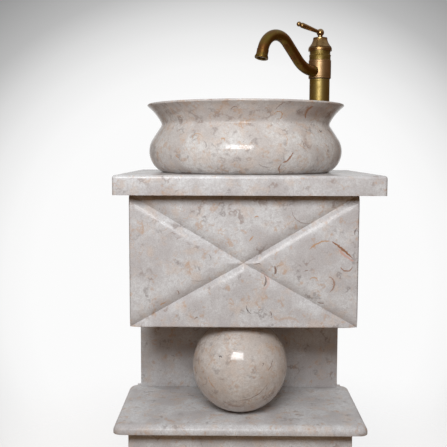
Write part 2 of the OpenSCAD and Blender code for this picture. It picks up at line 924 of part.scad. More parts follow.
module trap_head() {
    color(antique_brass)
        difference() {
            union() {
                at_bowl(trap_head_bottom)
                    cylinder(h = trap_head_h, r = trap_r);
                at_bowl(trap_head_top - overshoot)
                    cylinder(h = gland_boss_h + overshoot, r = gland_boss_r);
                at_outlet()
                    translate([0, 0, -trap_outlet_y])
                        cylinder(h = trap_outlet_y, r = gland_boss_r);
            }
            at_bowl(trap_head_bottom - overshoot)
                cylinder(h = trap_head_h - trap_wall + overshoot, r = trap_bore_r);
            at_bowl(trap_boss_top)
                gland_bore(trap_tube_r, gland_boss_h + trap_wall + overshoot);
            at_outlet()
                gland_bore(pipe_spigot_r, trap_outlet_y);
        }
}

// The cup unscrews from below to clear the trap
module trap_cup() {
    color(antique_brass)
        at_bowl(0)
            rotate_extrude()
                polygon(concat(
                    [[0, cup_bottom]],
                    arc_points([trap_r - cup_edge_r, cup_bottom + cup_edge_r], cup_edge_r,
                        -90, 0, nose_steps),
                    [[trap_r, cup_top], [trap_bore_r - thread_gap, cup_top],
                        [trap_bore_r - thread_gap, cup_top + cup_neck_h],
                        [cup_bore_r, cup_top + cup_neck_h],
                        [cup_bore_r, cup_bottom + trap_wall], [0, cup_bottom + trap_wall]]));
}

module trap_cup_seal() {
    color(black_rubber)
        at_bowl(cup_top)
            ring(trap_r - 0.5, trap_bore_r, cup_seal_t);
}

module trap_outlet_nut() {
    color(plain_brass)
        at_outlet()
            gland_nut(pipe_spigot_r);
}

module trap_outlet_seal() {
    color(black_rubber)
        at_outlet()
            gland_seal(pipe_spigot_r);
}

// The shoulder stands just clear of the nut, so that a wall connector can slide up to it
module trap_outlet_pipe() {
    pipe_reach = pipe_end_y - trap_outlet_y;
    color(antique_brass)
        at_outlet()
            translate([0, 0, pipe_reach])
                rotate([180, 0, 0])
                    shouldered_tube(trap_tube_r, pipe_spigot_r, trap_tube_r - trap_tube_wall,
                        pipe_reach + pipe_grip, pipe_grip + pipe_shoulder);
}

// Tap

module tap_foot_gasket() {
    color(black_rubber)
        at_tap(slab_top)
            ring(base_ring_r - 1, tap_hole_r, gasket_t);
}

// A moulded ring that trims the column's foot
module tap_base_ring() {
    bore_r = column_r + 0.1;
    color(antique_brass)
        at_tap(column_bottom)
            rotate_extrude()
                polygon(concat(
                    [[bore_r, 0], [base_ring_r, 0], [base_ring_r, base_ring_step]],
                    arc_points([base_ring_r, base_ring_h - 1], base_ring_h - 1 - base_ring_step,
                        -90, -180, nose_steps),
                    [[bore_r, base_ring_h]]));
}

// The column is a tube with a threaded foot
module tap_column() {
    color(antique_brass)
        at_tap(column_bottom)
            difference() {
                cylinder(h = column_top - column_bottom, r = column_r);
                translate([0, 0, column_foot_t])
                    cylinder(h = column_top - column_bottom, r = column_bore_r);
                translate([0, 0, -overshoot])
                    cylinder(h = column_foot_t + 2 * overshoot, r = shank_r + thread_gap);
            }
}

module tap_shank() {
    color(plain_brass)
        at_tap(shank_bottom)
            ring(shank_r, shank_bore_r, column_bottom + column_foot_t - shank_bottom);
}

module fixing_gasket() {
    color(black_rubber)
        at_tap(slab_bottom - fixing_gasket_t)
            ring(fixing_r, shank_r + 0.5, fixing_gasket_t);
}

module fixing_washer() {
    color(steel)
        at_tap(slab_bottom - fixing_gasket_t - fixing_washer_t)
            ring(fixing_r, shank_r + 0.2, fixing_washer_t);
}

module fixing_nut() {
    color(plain_brass)
        at_tap(slab_bottom - fixing_gasket_t - fixing_washer_t - fixing_nut_h)
            hex_nut(fixing_nut_flats, shank_r + thread_gap, fixing_nut_h);
}

// Hot and cold copper tails from the valve down through the shank
module supply_tails() {
    color(copper)
        for (side = [-1, 1])
            at_tap(tail_bottom)
                translate([0, side * tail_spacing, 0])
                    shouldered_tube(tail_r, tail_spigot_r, tail_r - tail_wall,
                        valve_bottom + tail_grip - tail_bottom, tail_grip + seat_gap);
}

// The valve body carries the cartridge, and the spout's sleeve turns on it
module valve_body() {
    color(plain_brass)
        at_tap(0)
            difference() {
                union() {
                    translate([0, 0, valve_bottom])
                        cylinder(h = column_top - valve_bottom, r = column_bore_r - thread_gap);
                    translate([0, 0, valve_bottom])
                        cylinder(h = valve_top - valve_bottom, r = core_r);
                }
                translate([0, 0, pocket_floor])
                    cylinder(h = valve_top - pocket_floor + overshoot, r = cartridge_r + 0.1);
                translate([0, 0, retaining_top])
                    cylinder(h = valve_top - retaining_top + overshoot, r = clamp_r + 0.1);
                for (side = [-1, 1])
                    translate([0, side * tail_spacing, 0]) {
                        translate([0, 0, valve_bottom - overshoot])
                            cylinder(h = tail_grip + overshoot, r = tail_spigot_r + thread_gap);
                        translate([0, 0, valve_bottom])
                            cylinder(h = pocket_floor - valve_bottom + overshoot,
                                r = tail_r - tail_wall);
                    }
                translate([tail_spacing + port_r, 0, port_z])
                    cylinder(h = pocket_floor - port_z + overshoot, r = port_r);
                translate([tail_spacing + port_r, 0, port_z])
                    rotate([0, 90, 0])
                        cylinder(h = core_r, r = port_r);
                translate([0, 0, port_z - port_groove_h / 2])
                    ring(core_r + overshoot, core_r - port_groove_depth, port_groove_h);
                for (z = [lower_seal_z, upper_seal_z])
                    translate([0, 0, z])
                        o_ring(core_r - seal_section_r, seal_section_r + thread_gap);
            }
}

module spout_glide_ring() {
    color(white_plastic)
        at_tap(column_top)
            ring(column_r + 0.5, core_r + 0.1, glide_t);
}

module spout_seals() {
    color(black_rubber)
        for (z = [lower_seal_z, upper_seal_z])
            at_tap(z)
                o_ring(core_r - seal_section_r, seal_section_r);
}

module spout_sleeve() {
    color(antique_brass)
        at_tap(sleeve_bottom)
            difference() {
                ring(sleeve_r, core_r + running_gap, sleeve_h);
                translate([core_r - overshoot, 0, spout_root_z])
                    rotate([0, 90, 0])
                        cylinder(h = sleeve_r, r = spout_r - spout_wall);
                translate([spout_start, 0, spout_root_z])
                    rotate([0, 90, 0])
                        cylinder(h = sleeve_r, r = spout_r + thread_gap);
            }
}

// A straight stretch of the spout, from a point of its path
module spout_straight(start, angle, length, r) {
    translate([start.x, 0, start.y])
        rotate([0, 90 - angle, 0])
            cylinder(h = length, r = r);
}

// A bend of the spout round a centre of its path
module spout_bend(centre, bend_r, from, to, r) {
    translate([centre.x, 0, centre.y])
        rotate([90, 0, 0])
            rotate([0, 0, from])
                rotate_extrude(angle = to - from)
                    translate([bend_r, 0])
                        circle(r = r);
}

// A fine brazed seam where a straight stretch of the spout meets a bend
module spout_seam(place, angle, r) {
    translate([place.x, 0, place.y])
        rotate([0, 90 - angle, 0])
            cylinder(h = seam_l, r = r + seam_proud, center = true);
}

// The spout's whole path at one radius, lengthened at both ends by extra
module spout_path(r, extra) {
    spout_straight([spout_start - extra, 0], 0, spout_bend_start - spout_start + extra - seam_gap, r);
    spout_seam([spout_bend_start, 0], 0, r);
    spout_bend(rise_centre, rise_bend_r, -90, rise_angle - 90, r);
    spout_seam(rise_end, rise_angle, r);
    spout_straight(rise_end + seam_gap * [cos(rise_angle), sin(rise_angle)], rise_angle,
        rise_length - 2 * seam_gap, r);
    spout_seam(top_start, rise_angle, r);
    spout_bend(top_centre, top_bend_r, 90 - drop_angle, 90 + rise_angle, r);
    spout_seam(outlet_start, -drop_angle, r);
    spout_straight(outlet_start + seam_gap * [cos(drop_angle), -sin(drop_angle)], -drop_angle,
        spigot_length + extra - seam_gap, r);
}

// Moves to where the outlet's straight end starts, with +Z down along it
module at_outlet_end() {
    at_tap(port_z)
        translate([outlet_start.x, 0, outlet_start.y])
            rotate([0, 90 + drop_angle, 0])
                children();
}

module spout_tube() {
    color(antique_brass)
        difference() {
            at_tap(port_z)
                spout_path(spout_r, 0);
            at_tap(port_z)
                spout_path(spout_r - spout_wall, overshoot);
            at_outlet_end()
                ring(spout_r + overshoot, spigot_r, spigot_length + overshoot);
        }
}

// The collar and lip at the outlet, which hold the aerator
module aerator_housing() {
    neck_z = outlet_length - lip_ring_h;
    color(antique_brass)
        at_outlet_end()
            difference() {
                rotate_extrude()
                    polygon(concat(
                        [[spigot_r - 2, 0], [collar_r - 0.5, 0], [collar_r, 0.5],
                            [collar_r, neck_z - 2]],
                        arc_points([lip_ring_r, neck_z - 2], lip_ring_r - collar_r, 180, 90, nose_steps),
                        [[lip_ring_r + 0.3, outlet_length - 1], [lip_ring_r - 0.5, outlet_length],
                            [spigot_r - 2, outlet_length]]));
                translate([0, 0, -overshoot])
                    cylinder(h = spigot_length + overshoot + insert_h, r = spigot_r + thread_gap);
            }
}

// A plate with a grid of jets
module aerator_insert() {
    jet_r = 1.1;
    color(white_plastic)
        at_outlet_end()
            translate([0, 0, spigot_length])
                difference() {
                    cylinder(h = insert_h, r = spigot_r);
                    for (row = [0, 1], turn = [0:360 / (6 + 6 * row):359])
                        rotate([0, 0, turn])
                            translate([3.3 + 3.4 * row, 0, -overshoot])
                                cylinder(h = insert_h + 2 * overshoot, r = jet_r, $fn = 24);
                }
}

module spout_retaining_ring() {
    color(antique_brass)
        at_tap(retaining_bottom)
            ring(retaining_r, core_r + thread_gap, retaining_h);
}

// A cone with a flange at its foot, open at the top for the stem
module tap_bonnet() {
    skirt_r = bonnet_flange_r - 1.6;
    color(antique_brass)
        at_tap(retaining_top)
            rotate_extrude()
                polygon([[core_r + thread_gap, 0], [bonnet_flange_r - 1, 0],
                    [bonnet_flange_r, 1], [bonnet_flange_r, bonnet_flange_h - 2],
                    [bonnet_flange_r - 1, bonnet_flange_h - 0.6], [skirt_r, bonnet_flange_h],
                    [bonnet_top_r + 0.8, bonnet_h - 1], [bonnet_top_r, bonnet_h],
                    [bonnet_hole_r, bonnet_h], [bonnet_hole_r, bonnet_h - bonnet_roof_t],
                    [bonnet_top_r - bonnet_shell, bonnet_h - bonnet_roof_t],
                    [core_r + thread_gap, bonnet_flange_h]]);
}

module cartridge_body() {
    color(white_plastic)
        at_tap(0) {
            translate([0, 0, pocket_floor])
                cylinder(h = retaining_top - pocket_floor, r = cartridge_r);
            translate([0, 0, pocket_floor])
                cylinder(h = cartridge_neck_top - pocket_floor, r = cartridge_neck_r);
        }
}

module cartridge_clamp_nut() {
    color(plain_brass)
        at_tap(retaining_top)
            ring(clamp_r, cartridge_neck_r + 0.1, clamp_h);
}

// The rotor turns on the cartridge, and the stem tilts in its slot
module cartridge_rotor() {
    color(steel)
        at_tap(0)
            difference() {
                translate([0, 0, rotor_bottom])
                    cylinder(h = rotor_top - rotor_bottom, r = rotor_r);
                translate([-rotor_r - overshoot, -slot_w / 2, slot_floor])
                    cube([2 * (rotor_r + overshoot), slot_w, rotor_top - slot_floor + overshoot]);
                translate([0, 0, pivot_z])
                    rotate([90, 0, 0])
                        cylinder(h = 2 * (rotor_r + overshoot), r = pin_r, center = true);
            }
}

module rotor_pin() {
    color(steel)
        at_tap(pivot_z)
            rotate([90, 0, 0])
                cylinder(h = 2 * (rotor_r - 0.6), r = pin_r, center = true);
}

module lever_stem() {
    color(steel)
        at_tap(0)
            difference() {
                translate([0, 0, stem_bottom])
                    cylinder(h = stem_top - stem_bottom, r = stem_r);
                translate([0, 0, pivot_z])
                    rotate([90, 0, 0])
                        cylinder(h = 2 * (stem_r + overshoot), r = pin_r + running_gap, center = true);
            }
}

// Moves to the ball's middle, with +Z out along the lever
module at_lever() {
    at_tap(hub_centre_z)
        rotate([0, 90 - lever_slope, 0])
            children();
}

module lever_hub() {
    color(antique_brass)
        difference() {
            union() {
                at_tap(hub_centre_z)
                    sphere(r = hub_r);
                at_tap(hub_collar_bottom)
                    cylinder(h = hub_centre_z - hub_collar_bottom, r = hub_collar_r);
            }
            at_tap(hub_collar_bottom - overshoot)
                cylinder(h = stem_top - hub_collar_bottom + overshoot, r = stem_r + thread_gap);
            at_lever() {
                translate([0, 0, hub_spot])
                    cylinder(h = hub_r, r = lever_root_r + 0.1);
                translate([0, 0, hub_spot - arm_spigot_length])
                    cylinder(h = hub_r, r = arm_spigot_r + thread_gap);
            }
            at_tap(hub_centre_z)
                rotate([0, -90, 0])
                    cylinder(h = hub_r + overshoot, r = grub_r + thread_gap);
        }
}

// A lever that swells towards its tip and ends in a bead
module lever_arm() {
    swell_cap = lever_swell_r * 0.9;
    color(antique_brass)
        at_lever() {
            rotate_extrude()
                polygon(concat(
                    [[0, hub_spot], [lever_root_r, hub_spot]],
                    arc_points([0, swell_x], lever_swell_r, 0, 60, nose_steps),
                    [[bead_neck_r, swell_x + swell_cap + 0.6], [bead_neck_r, bead_x],
                        [0, bead_x]]));
            translate([0, 0, bead_x])
                sphere(r = lever_bead_r);
            translate([0, 0, hub_spot - arm_spigot_length])
                cylinder(h = arm_spigot_length + 0.5, r = arm_spigot_r);
        }
}

// The screw that locks the ball on the stem, at the back of the ball
module lever_grub_screw() {
    color(steel)
        at_tap(hub_centre_z)
            rotate([0, -90, 0])
                translate([0, 0, stem_r + 0.1])
                    cylinder(h = grub_length, r = grub_r);
}

counter_slab();
carved_front_panel();
upper_left_panel();
upper_right_panel();
upper_soffit();
column_front_panel();
column_left_panel();
column_right_panel();
shelf_slab();
plinth_front_panel();
plinth_left_panel();
plinth_right_panel();
stone_ball();
ball_dowels();
basin_bowl();
bowl_sealant();
waste_body();
waste_flange_seal();
waste_plug();
plug_seal();
plug_spindle();
waste_under_seal();
waste_nut();
coupling_nut();
coupling_seal();
trap_dip_tube();
trap_inlet_nut();
trap_inlet_seal();
trap_head();
trap_cup();
trap_cup_seal();
trap_outlet_nut();
trap_outlet_seal();
trap_outlet_pipe();
tap_foot_gasket();
tap_base_ring();
tap_column();
tap_shank();
fixing_gasket();
fixing_washer();
fixing_nut();
supply_tails();
valve_body();
spout_glide_ring();
spout_seals();
spout_sleeve();
spout_tube();
aerator_housing();
aerator_insert();
spout_retaining_ring();
tap_bonnet();
cartridge_body();
cartridge_clamp_nut();
cartridge_rotor();
rotor_pin();
lever_stem();
lever_hub();
lever_arm();
lever_grub_screw();
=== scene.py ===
"""Stone pedestal basin with a carved front, a turned bowl and a tall swivel-spout tap.

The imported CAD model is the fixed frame. Plain stone slabs and small fittings keep their CAD shape
and get rounded edges and a finish. Turned, swept and carved pieces are built finer from the same
sizes and stand for their CAD nodes. Every length is in metres, in the CAD's own frame.
"""

import json
import logging
import math
from dataclasses import dataclass, field
from enum import Enum, unique
from typing import Callable, Sequence, Union

import bmesh
import bpy
from mathutils import Matrix, Vector


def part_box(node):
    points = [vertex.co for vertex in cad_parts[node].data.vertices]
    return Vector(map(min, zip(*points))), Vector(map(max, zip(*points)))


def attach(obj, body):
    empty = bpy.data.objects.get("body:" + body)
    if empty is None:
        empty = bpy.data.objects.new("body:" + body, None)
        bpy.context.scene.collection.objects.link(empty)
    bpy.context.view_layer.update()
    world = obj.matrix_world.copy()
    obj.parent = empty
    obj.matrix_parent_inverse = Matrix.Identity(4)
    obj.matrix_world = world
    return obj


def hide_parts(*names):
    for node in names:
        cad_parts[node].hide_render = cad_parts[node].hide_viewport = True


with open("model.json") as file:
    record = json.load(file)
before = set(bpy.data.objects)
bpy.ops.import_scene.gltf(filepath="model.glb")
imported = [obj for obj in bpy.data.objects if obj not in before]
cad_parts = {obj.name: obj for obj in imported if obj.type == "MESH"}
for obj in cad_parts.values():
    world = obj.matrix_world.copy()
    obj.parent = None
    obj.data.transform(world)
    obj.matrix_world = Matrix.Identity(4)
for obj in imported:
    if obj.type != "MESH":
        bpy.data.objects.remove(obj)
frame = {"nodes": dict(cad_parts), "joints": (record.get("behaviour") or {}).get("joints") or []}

LOG = logging.getLogger("pedestal_basin")
MM = 0.001
ON_AXIS = 1e-9  # a point nearer to the axis is a pole
SAME_SPOT = 1e-7  # vertices of a new mesh that are nearer are merged
SAME_CORNER = 1e-6  # the same for a CAD node
SHARP_ANGLE = math.radians(32.0)  # an edge that turns by more stays crisp
BEVEL_ANGLE = math.radians(35.0)  # an edge that turns by more is rounded

Point = tuple[float, float]
Spot = tuple[float, float, float]
Mesh = tuple[list[Vector], list[tuple[int, ...]]]
Colour = tuple[float, float, float]
Socket = bpy.types.NodeSocket
Value = Union[Socket, Colour, float]


@unique
class Body(Enum):
    """The CAD bodies that pieces ride on."""

    ROOT = "root"
    SPOUT = "spout"
    LEVER = "lever"
    PLUG = "plug"


@unique
class Slot(Enum):
    """The record's material slots."""

    STONE = "stone"
    WARM_STONE = "warm_stone"
    ANTIQUE_BRASS = "antique_brass"
    PLAIN_BRASS = "plain_brass"
    STEEL = "steel"
    RUBBER = "rubber"
    SEALANT = "sealant"
    WHITE_PLASTIC = "white_plastic"
    COPPER = "copper"


# Shapes


def circle(segments: int) -> list[Point]:
    """Cosine and sine of evenly spaced angles round a circle."""
    angles = [math.tau * k / segments for k in range(segments)]
    return [(math.cos(a), math.sin(a)) for a in angles]


def heading(angle: float) -> Vector:
    """A step of length 1 in an outline, at an angle in degrees."""
    turn = math.radians(angle)
    return Vector((math.cos(turn), math.sin(turn)))


def arc(centre: Sequence[float], radius: float, start: float, end: float,
        steps: int) -> list[Point]:
    """Points on an arc.

    Args:
        centre: Middle of the arc.
        radius: Its radius.
        start: First angle, in degrees.
        end: Last angle, in degrees.
        steps: How many stretches the arc is cut into.

    Returns:
        The points, both ends included.
    """
    angles = [math.radians(start + (end - start) * i / steps) for i in range(steps + 1)]
    return [(centre[0] + radius * math.cos(a), centre[1] + radius * math.sin(a)) for a in angles]


def groove(radius: float, height: float, depth: float, mouth: float,
           floor: float = 0.2 * MM) -> list[Point]:
    """A fine turned groove, from its lower edge to its upper one.

    Args:
        radius: Radius of the surface.
        height: Height of the groove's middle.
        depth: Its depth.
        mouth: Half of its width at the surface.
        floor: Half of its width at its floor.

    Returns:
        The groove's points in the outline.
    """
    return [(radius, height - mouth), (radius - depth, height - floor),
            (radius - depth, height + floor), (radius, height + mouth)]


def rounded(corners: Sequence[Spot], steps: int) -> list[Point]:
    """A closed outline whose corners are rounded.

    Args:
        corners: Each corner's two coordinates and its rounding radius.
        steps: Stretches in each rounding.

    Returns:
        The outline's points.
    """
    outline: list[Point] = []
    count = len(corners)
    for i, (x, y, radius) in enumerate(corners):
        here = Vector((x, y))
        if radius <= 0:
            outline.append((x, y))
            continue
        before = (Vector(corners[i - 1][:2]) - here).normalized()
        after = (Vector(corners[(i + 1) % count][:2]) - here).normalized()
        half = before.angle(after) / 2
        reach = radius / math.tan(half)
        centre = here + (before + after).normalized() * (radius / math.sin(half))
        first = here + before * reach - centre
        last = here + after * reach - centre
        turn = first.angle_signed(last)
        for k in range(steps + 1):
            spot = first.copy()
            spot.rotate(Matrix.Rotation(-turn * k / steps, 2))
            outline.append((centre.x + spot.x, centre.y + spot.y))
    return outline


def revolve(outline: Sequence[Point], segments: int, place: Matrix) -> Mesh:
    """Turns a closed outline round its own upright axis.

    Args:
        outline: Radius and height of each point. Points on the axis become poles.
        segments: Flat stretches round the circle.
        place: Where the turned form stands.

    Returns:
        Vertices and faces.
    """
    points: list[Vector] = []
    rings: list[list[int]] = []
    for radius, height in outline:
        if radius < ON_AXIS:
            rings.append([len(points)])
            points.append(place @ Vector((0.0, 0.0, height)))
            continue
        rings.append(list(range(len(points), len(points) + segments)))
        points += [place @ Vector((radius * c, radius * s, height)) for c, s in circle(segments)]
    faces: list[tuple[int, ...]] = []
    for i, low in enumerate(rings):
        high = rings[(i + 1) % len(rings)]
        if len(low) == 1 and len(high) == 1:
            continue
        for k in range(segments):
            n = (k + 1) % segments
            corners = [low[k % len(low)], low[n % len(low)],
                       high[n % len(high)], high[k % len(high)]]
            faces.append(tuple(dict.fromkeys(corners)))
    return points, faces


def sweep(path: Sequence[Point], radii: Sequence[float], segments: int, place: Matrix) -> Mesh:
    """A closed round bar along a path in the XZ plane.

    Args:
        path: Distance along X and height of each point.
        radii: The bar's radius at each point.
        segments: Flat stretches round the bar.
        place: Where the bar stands.

    Returns:
        Vertices and faces, with a flat face at each end.
    """
    points: list[Vector] = []
    count = len(path)
    for i, (x, z) in enumerate(path):
        along = (Vector(path[min(i + 1, count - 1)]) - Vector(path[max(i - 1, 0)])).normalized()
        across = Vector((-along.y, 0.0, along.x))
        for c, s in circle(segments):
            spot = across * (radii[i] * c) + Vector((0.0, radii[i] * s, 0.0))
            points.append(place @ (Vector((x, 0.0, z)) + spot))
    faces: list[tuple[int, ...]] = []
    for start in range(0, (count - 1) * segments, segments):
        for k in range(segments):
            n = (k + 1) % segments
            faces.append((start + k, start + n, start + segments + n, start + segments + k))
    faces.append(tuple(range(segments - 1, -1, -1)))
    faces.append(tuple((count - 1) * segments + k for k in range(segments)))
    return points, faces


def radial(outline: Callable[[float], Sequence[Point]], segments: int, place: Matrix) -> Mesh:
    """Turns an outline that changes as it goes round, such as a nut's or a thread's.

    Args:
        outline: Gives the closed outline at an angle in radians, always with as many points.
        segments: Stretches round the circle.
        place: Where the form stands.

    Returns:
        Vertices and faces.
    """
    points: list[Vector] = []
    width = len(outline(0.0))
    for k in range(segments):
        a = math.tau * k / segments
        points += [place @ Vector((r * math.cos(a), r * math.sin(a), z)) for r, z in outline(a)]
    faces: list[tuple[int, ...]] = []
    for k in range(segments):
        n = (k + 1) % segments
        for i in range(width):
            j = (i + 1) % width
            faces.append((k * width + i, n * width + i, n * width + j, k * width + j))
    return points, faces


def joined(*parts: Mesh) -> Mesh:
    """Puts several meshes side by side in one.

    Args:
        parts: The meshes.

    Returns:
        Vertices and faces of them all.
    """
    points: list[Vector] = []
    faces: list[tuple[int, ...]] = []
    for spots, sides in parts:
        start = len(points)
        points += spots
        faces += [tuple(start + i for i in side) for side in sides]
    return points, faces


# Shader nodes


@dataclass
class Graph:
    """Adds nodes to a node tree and joins them.

    Attributes:
        tree: The tree that takes the nodes.
    """

    tree: bpy.types.NodeTree

    def node(self, kind: str, **settings: object) -> bpy.types.Node:
        """Adds a node.

        Args:
            kind: The node's type.
            settings: Properties that are set on it.

        Returns:
            The node.
        """
        node = self.tree.nodes.new(kind)
        for key, value in settings.items():
            setattr(node, key, value)
        return node

    def put(self, socket: Socket, value: Value) -> None:
        """Links a socket to another, or sets its value.

        Args:
            socket: The socket.
            value: The other socket, or the value.
        """
        if isinstance(value, bpy.types.NodeSocket):
            self.tree.links.new(value, socket)
        elif isinstance(value, tuple) and len(value) == 3 and len(socket.default_value) == 4:
            socket.default_value = (*value, 1.0)
        else:
            socket.default_value = value

    def math(self, operation: str, *values: Value, clamp: bool = False) -> Socket:
        """Adds a maths node.

        Args:
            operation: What it does.
            values: Its operands.
            clamp: Whether the result is kept from 0 to 1.

        Returns:
            The result.
        """
        node = self.node("ShaderNodeMath", operation=operation, use_clamp=clamp)
        for socket, value in zip(node.inputs, values):
            self.put(socket, value)
        return node.outputs[0]

    def plus(self, first: Value, second: Value) -> Socket:
        """Adds two values."""
        return self.math("ADD", first, second)

    def minus(self, first: Value, second: Value) -> Socket:
        """Takes the second value from the first."""
        return self.math("SUBTRACT", first, second)

    def times(self, first: Value, second: Value) -> Socket:
        """Multiplies two values."""
        return self.math("MULTIPLY", first, second)

    def hypot(self, first: Value, second: Value) -> Socket:
        """Length of a step from its two sides."""
        return self.math("SQRT", self.plus(self.times(first, first), self.times(second, second)))

    def vector(self, operation: str, *values: Value) -> Socket:
        """Adds a vector maths node.

        Args:
            operation: What it does.
            values: Its operands. The operand of SCALE comes second.

        Returns:
            The result, a number for LENGTH and else a vector.
        """
        node = self.node("ShaderNodeVectorMath", operation=operation)
        sockets = [node.inputs[0], node.inputs["Scale"] if operation == "SCALE" else node.inputs[1]]
        for socket, value in zip(sockets, values):
            self.put(socket, value)
        return node.outputs["Value" if operation == "LENGTH" else "Vector"]

    def split(self, parts: str, value: Socket) -> Sequence[Socket]:
        """Splits a vector or a colour.

        Args:
            parts: XYZ for a vector, or Color for a colour.
            value: What is split.

        Returns:
            Its three parts.
        """
        node = self.node("ShaderNodeSeparate" + parts)
        self.put(node.inputs[0], value)
        return node.outputs

    def span(self, value: Value, low: Value, high: Value, first: Value = 0.0,
             last: Value = 1.0) -> Socket:
        """Maps a value smoothly from one span to another.

        Args:
            value: The value.
            low: Where the span starts.
            high: Where it ends.
            first: The result at its start.
            last: The result at its end.

        Returns:
            The mapped value.
        """
        node = self.node("ShaderNodeMapRange", interpolation_type="SMOOTHSTEP")
        for key, given in zip(("Value", "From Min", "From Max", "To Min", "To Max"),
                              (value, low, high, first, last)):
            self.put(node.inputs[key], given)
        return node.outputs[0]

    def mix(self, factor: Value, first: Value, second: Value) -> Socket:
        """Mixes two colours.

        Args:
            factor: Share of the second.
            first: The first colour.
            second: The second colour.

        Returns:
            The mixed colour.
        """
        node = self.node("ShaderNodeMix", data_type="RGBA")
        for key, given in zip(("Factor", 6, 7), (factor, first, second)):
            self.put(node.inputs[key], given)
        return node.outputs[2]

    def noise(self, vector: Socket, scale: Value, detail: float = 2.0,
              rough: float = 0.5) -> bpy.types.Node:
        """Adds a noise texture.

        Args:
            vector: Where it is read.
            scale: Lumps in a metre.
            detail: Finer layers.
            rough: Strength of the finer layers.

        Returns:
            The node.
        """
        node = self.node("ShaderNodeTexNoise")
        for key, given in zip(("Vector", "Scale", "Detail", "Roughness"),
                              (vector, scale, detail, rough)):
            self.put(node.inputs[key], given)
        return node

    def bent(self, vector: Socket, scale: Value, reach: Value) -> Socket:
        """Bends space unevenly.

        Args:
            vector: The place.
            scale: Bends in a metre.
            reach: How far it is bent.

        Returns:
            The bent place.
        """
        warp = self.noise(vector, scale).outputs["Color"]
        step = self.vector("SCALE", self.vector("SUBTRACT", warp, (0.5, 0.5, 0.5)), reach)
        return self.vector("ADD", vector, step)

    def place(self, effect: "Effect", vector: Socket, **values: Value) -> Socket:
        """Places a shared effect.

        Args:
            effect: Which one.
            vector: Where it is read.
            values: Its settings.

        Returns:
            Its mask.
        """
        node = self.node("ShaderNodeGroup", node_tree=effect_tree(effect))
        self.put(node.inputs["Vector"], vector)
        for key, value in values.items():
            self.put(node.inputs[key.capitalize()], value)
        return node.outputs["Mask"]


@unique
class Effect(Enum):
    """The effects that materials share, with the settings of each."""

    CLOUDS = ("scale", "low", "high")
    VEINS = ("scale", "width", "share")
    FLECKS = ("scale", "size", "share")
    STROKE = ("centre", "radius", "middle", "half", "width")
    LINES = ("along", "across")
    TARNISH = ("scale", "share")


@dataclass
class EffectGroup(Graph):
    """The node group of a shared effect.

    Attributes:
        given: The group's inputs.
    """

    given: bpy.types.NodeOutputs

    def clouds(self) -> Socket:
        """Soft patches.

        Returns:
            Their mask.
        """
        noise = self.noise(self.given["Vector"], self.given["Scale"], 4.0, 0.55)
        return self.span(noise.outputs[0], self.given["Low"], self.given["High"])

    def veins(self) -> Socket:
        """Thin veins that wander, break off and start again.

        Returns:
            Their mask.
        """
        where, scale = self.given["Vector"], self.given["Scale"]
        noise = self.noise(where, scale, 3.0, 0.6)
        off = self.math("ABSOLUTE", self.minus(noise.outputs[0], 0.5))
        line = self.span(off, 0.0, self.given["Width"], 1.0, 0.0)
        other = self.vector("ADD", where, (3.1, 1.7, 2.3))
        gate = self.noise(other, self.times(scale, 0.9))
        start = self.minus(1.0, self.given["Share"])
        return self.times(line, self.span(gate.outputs[0], start, self.plus(start, 0.1)))

    def flecks(self) -> Socket:
        """Small crumbs, one in the middle of some cells of the space.

        Returns:
            Their mask.
        """
        scale = self.given["Scale"]
        spot = self.bent(self.given["Vector"], scale, self.math("DIVIDE", 1.1, scale))
        cells = self.node("ShaderNodeTexVoronoi")
        self.put(cells.inputs["Vector"], spot)
        self.put(cells.inputs["Scale"], scale)
        away = self.vector("SCALE", self.vector("SUBTRACT", spot, cells.outputs["Position"]),
                           scale)
        draw, wide, _ = self.split("Color", cells.outputs["Color"])
        size = self.times(self.given["Size"], self.span(wide, 0.0, 1.0, 0.4, 1.3))
        crumb = self.span(self.vector("LENGTH", away), self.times(size, 0.5), size, 1.0, 0.0)
        return self.times(crumb, self.math("LESS_THAN", draw, self.given["Share"]))

    def stroke(self) -> Socket:
        """One bent stroke on the front, thick in its middle and fine at its ends.

        Returns:
            Its mask.
        """
        given = self.given
        x, _, z = self.split("XYZ", self.vector("SUBTRACT", given["Vector"], given["Centre"]))
        off = self.math("ABSOLUTE", self.minus(self.hypot(x, z), given["Radius"]))
        angle = self.minus(self.math("ARCTAN2", z, x), given["Middle"])
        turned = self.math("ABSOLUTE", self.math("WRAP", angle, -math.pi, math.pi))
        left = self.math("SUBTRACT", 1.0, self.math("DIVIDE", turned, given["Half"]), clamp=True)
        width = self.plus(self.times(given["Width"], self.math("POWER", left, 0.5)), 1e-5)
        line = self.span(off, self.times(width, 0.25), width, 1.0, 0.0)
        return self.times(line, self.span(left, 0.0, 0.15))

    def lines(self) -> Socket:
        """Fine tool marks round an upright axis.

        Returns:
            Their relief.
        """
        scale = self.node("ShaderNodeCombineXYZ")
        for socket, setting in zip(scale.inputs, ("Across", "Across", "Along")):
            self.put(socket, self.given[setting])
        spot = self.vector("MULTIPLY", self.given["Vector"], scale.outputs[0])
        return self.noise(spot, 1.0, 3.0, 0.7).outputs[0]

    def tarnish(self) -> Socket:
        """Uneven tarnish: broad patches, broken up by finer ones.

        Returns:
            Its mask.
        """
        where, scale = self.given["Vector"], self.given["Scale"]
        broad = self.noise(where, scale, 3.0, 0.6)
        fine = self.noise(where, self.times(scale, 9.0), 3.0, 0.7)
        both = self.plus(self.times(broad.outputs[0], 0.7), self.times(fine.outputs[0], 0.3))
        start = self.minus(0.75, self.times(self.given["Share"], 0.5))
        return self.span(both, self.minus(start, 0.14), self.plus(start, 0.14))


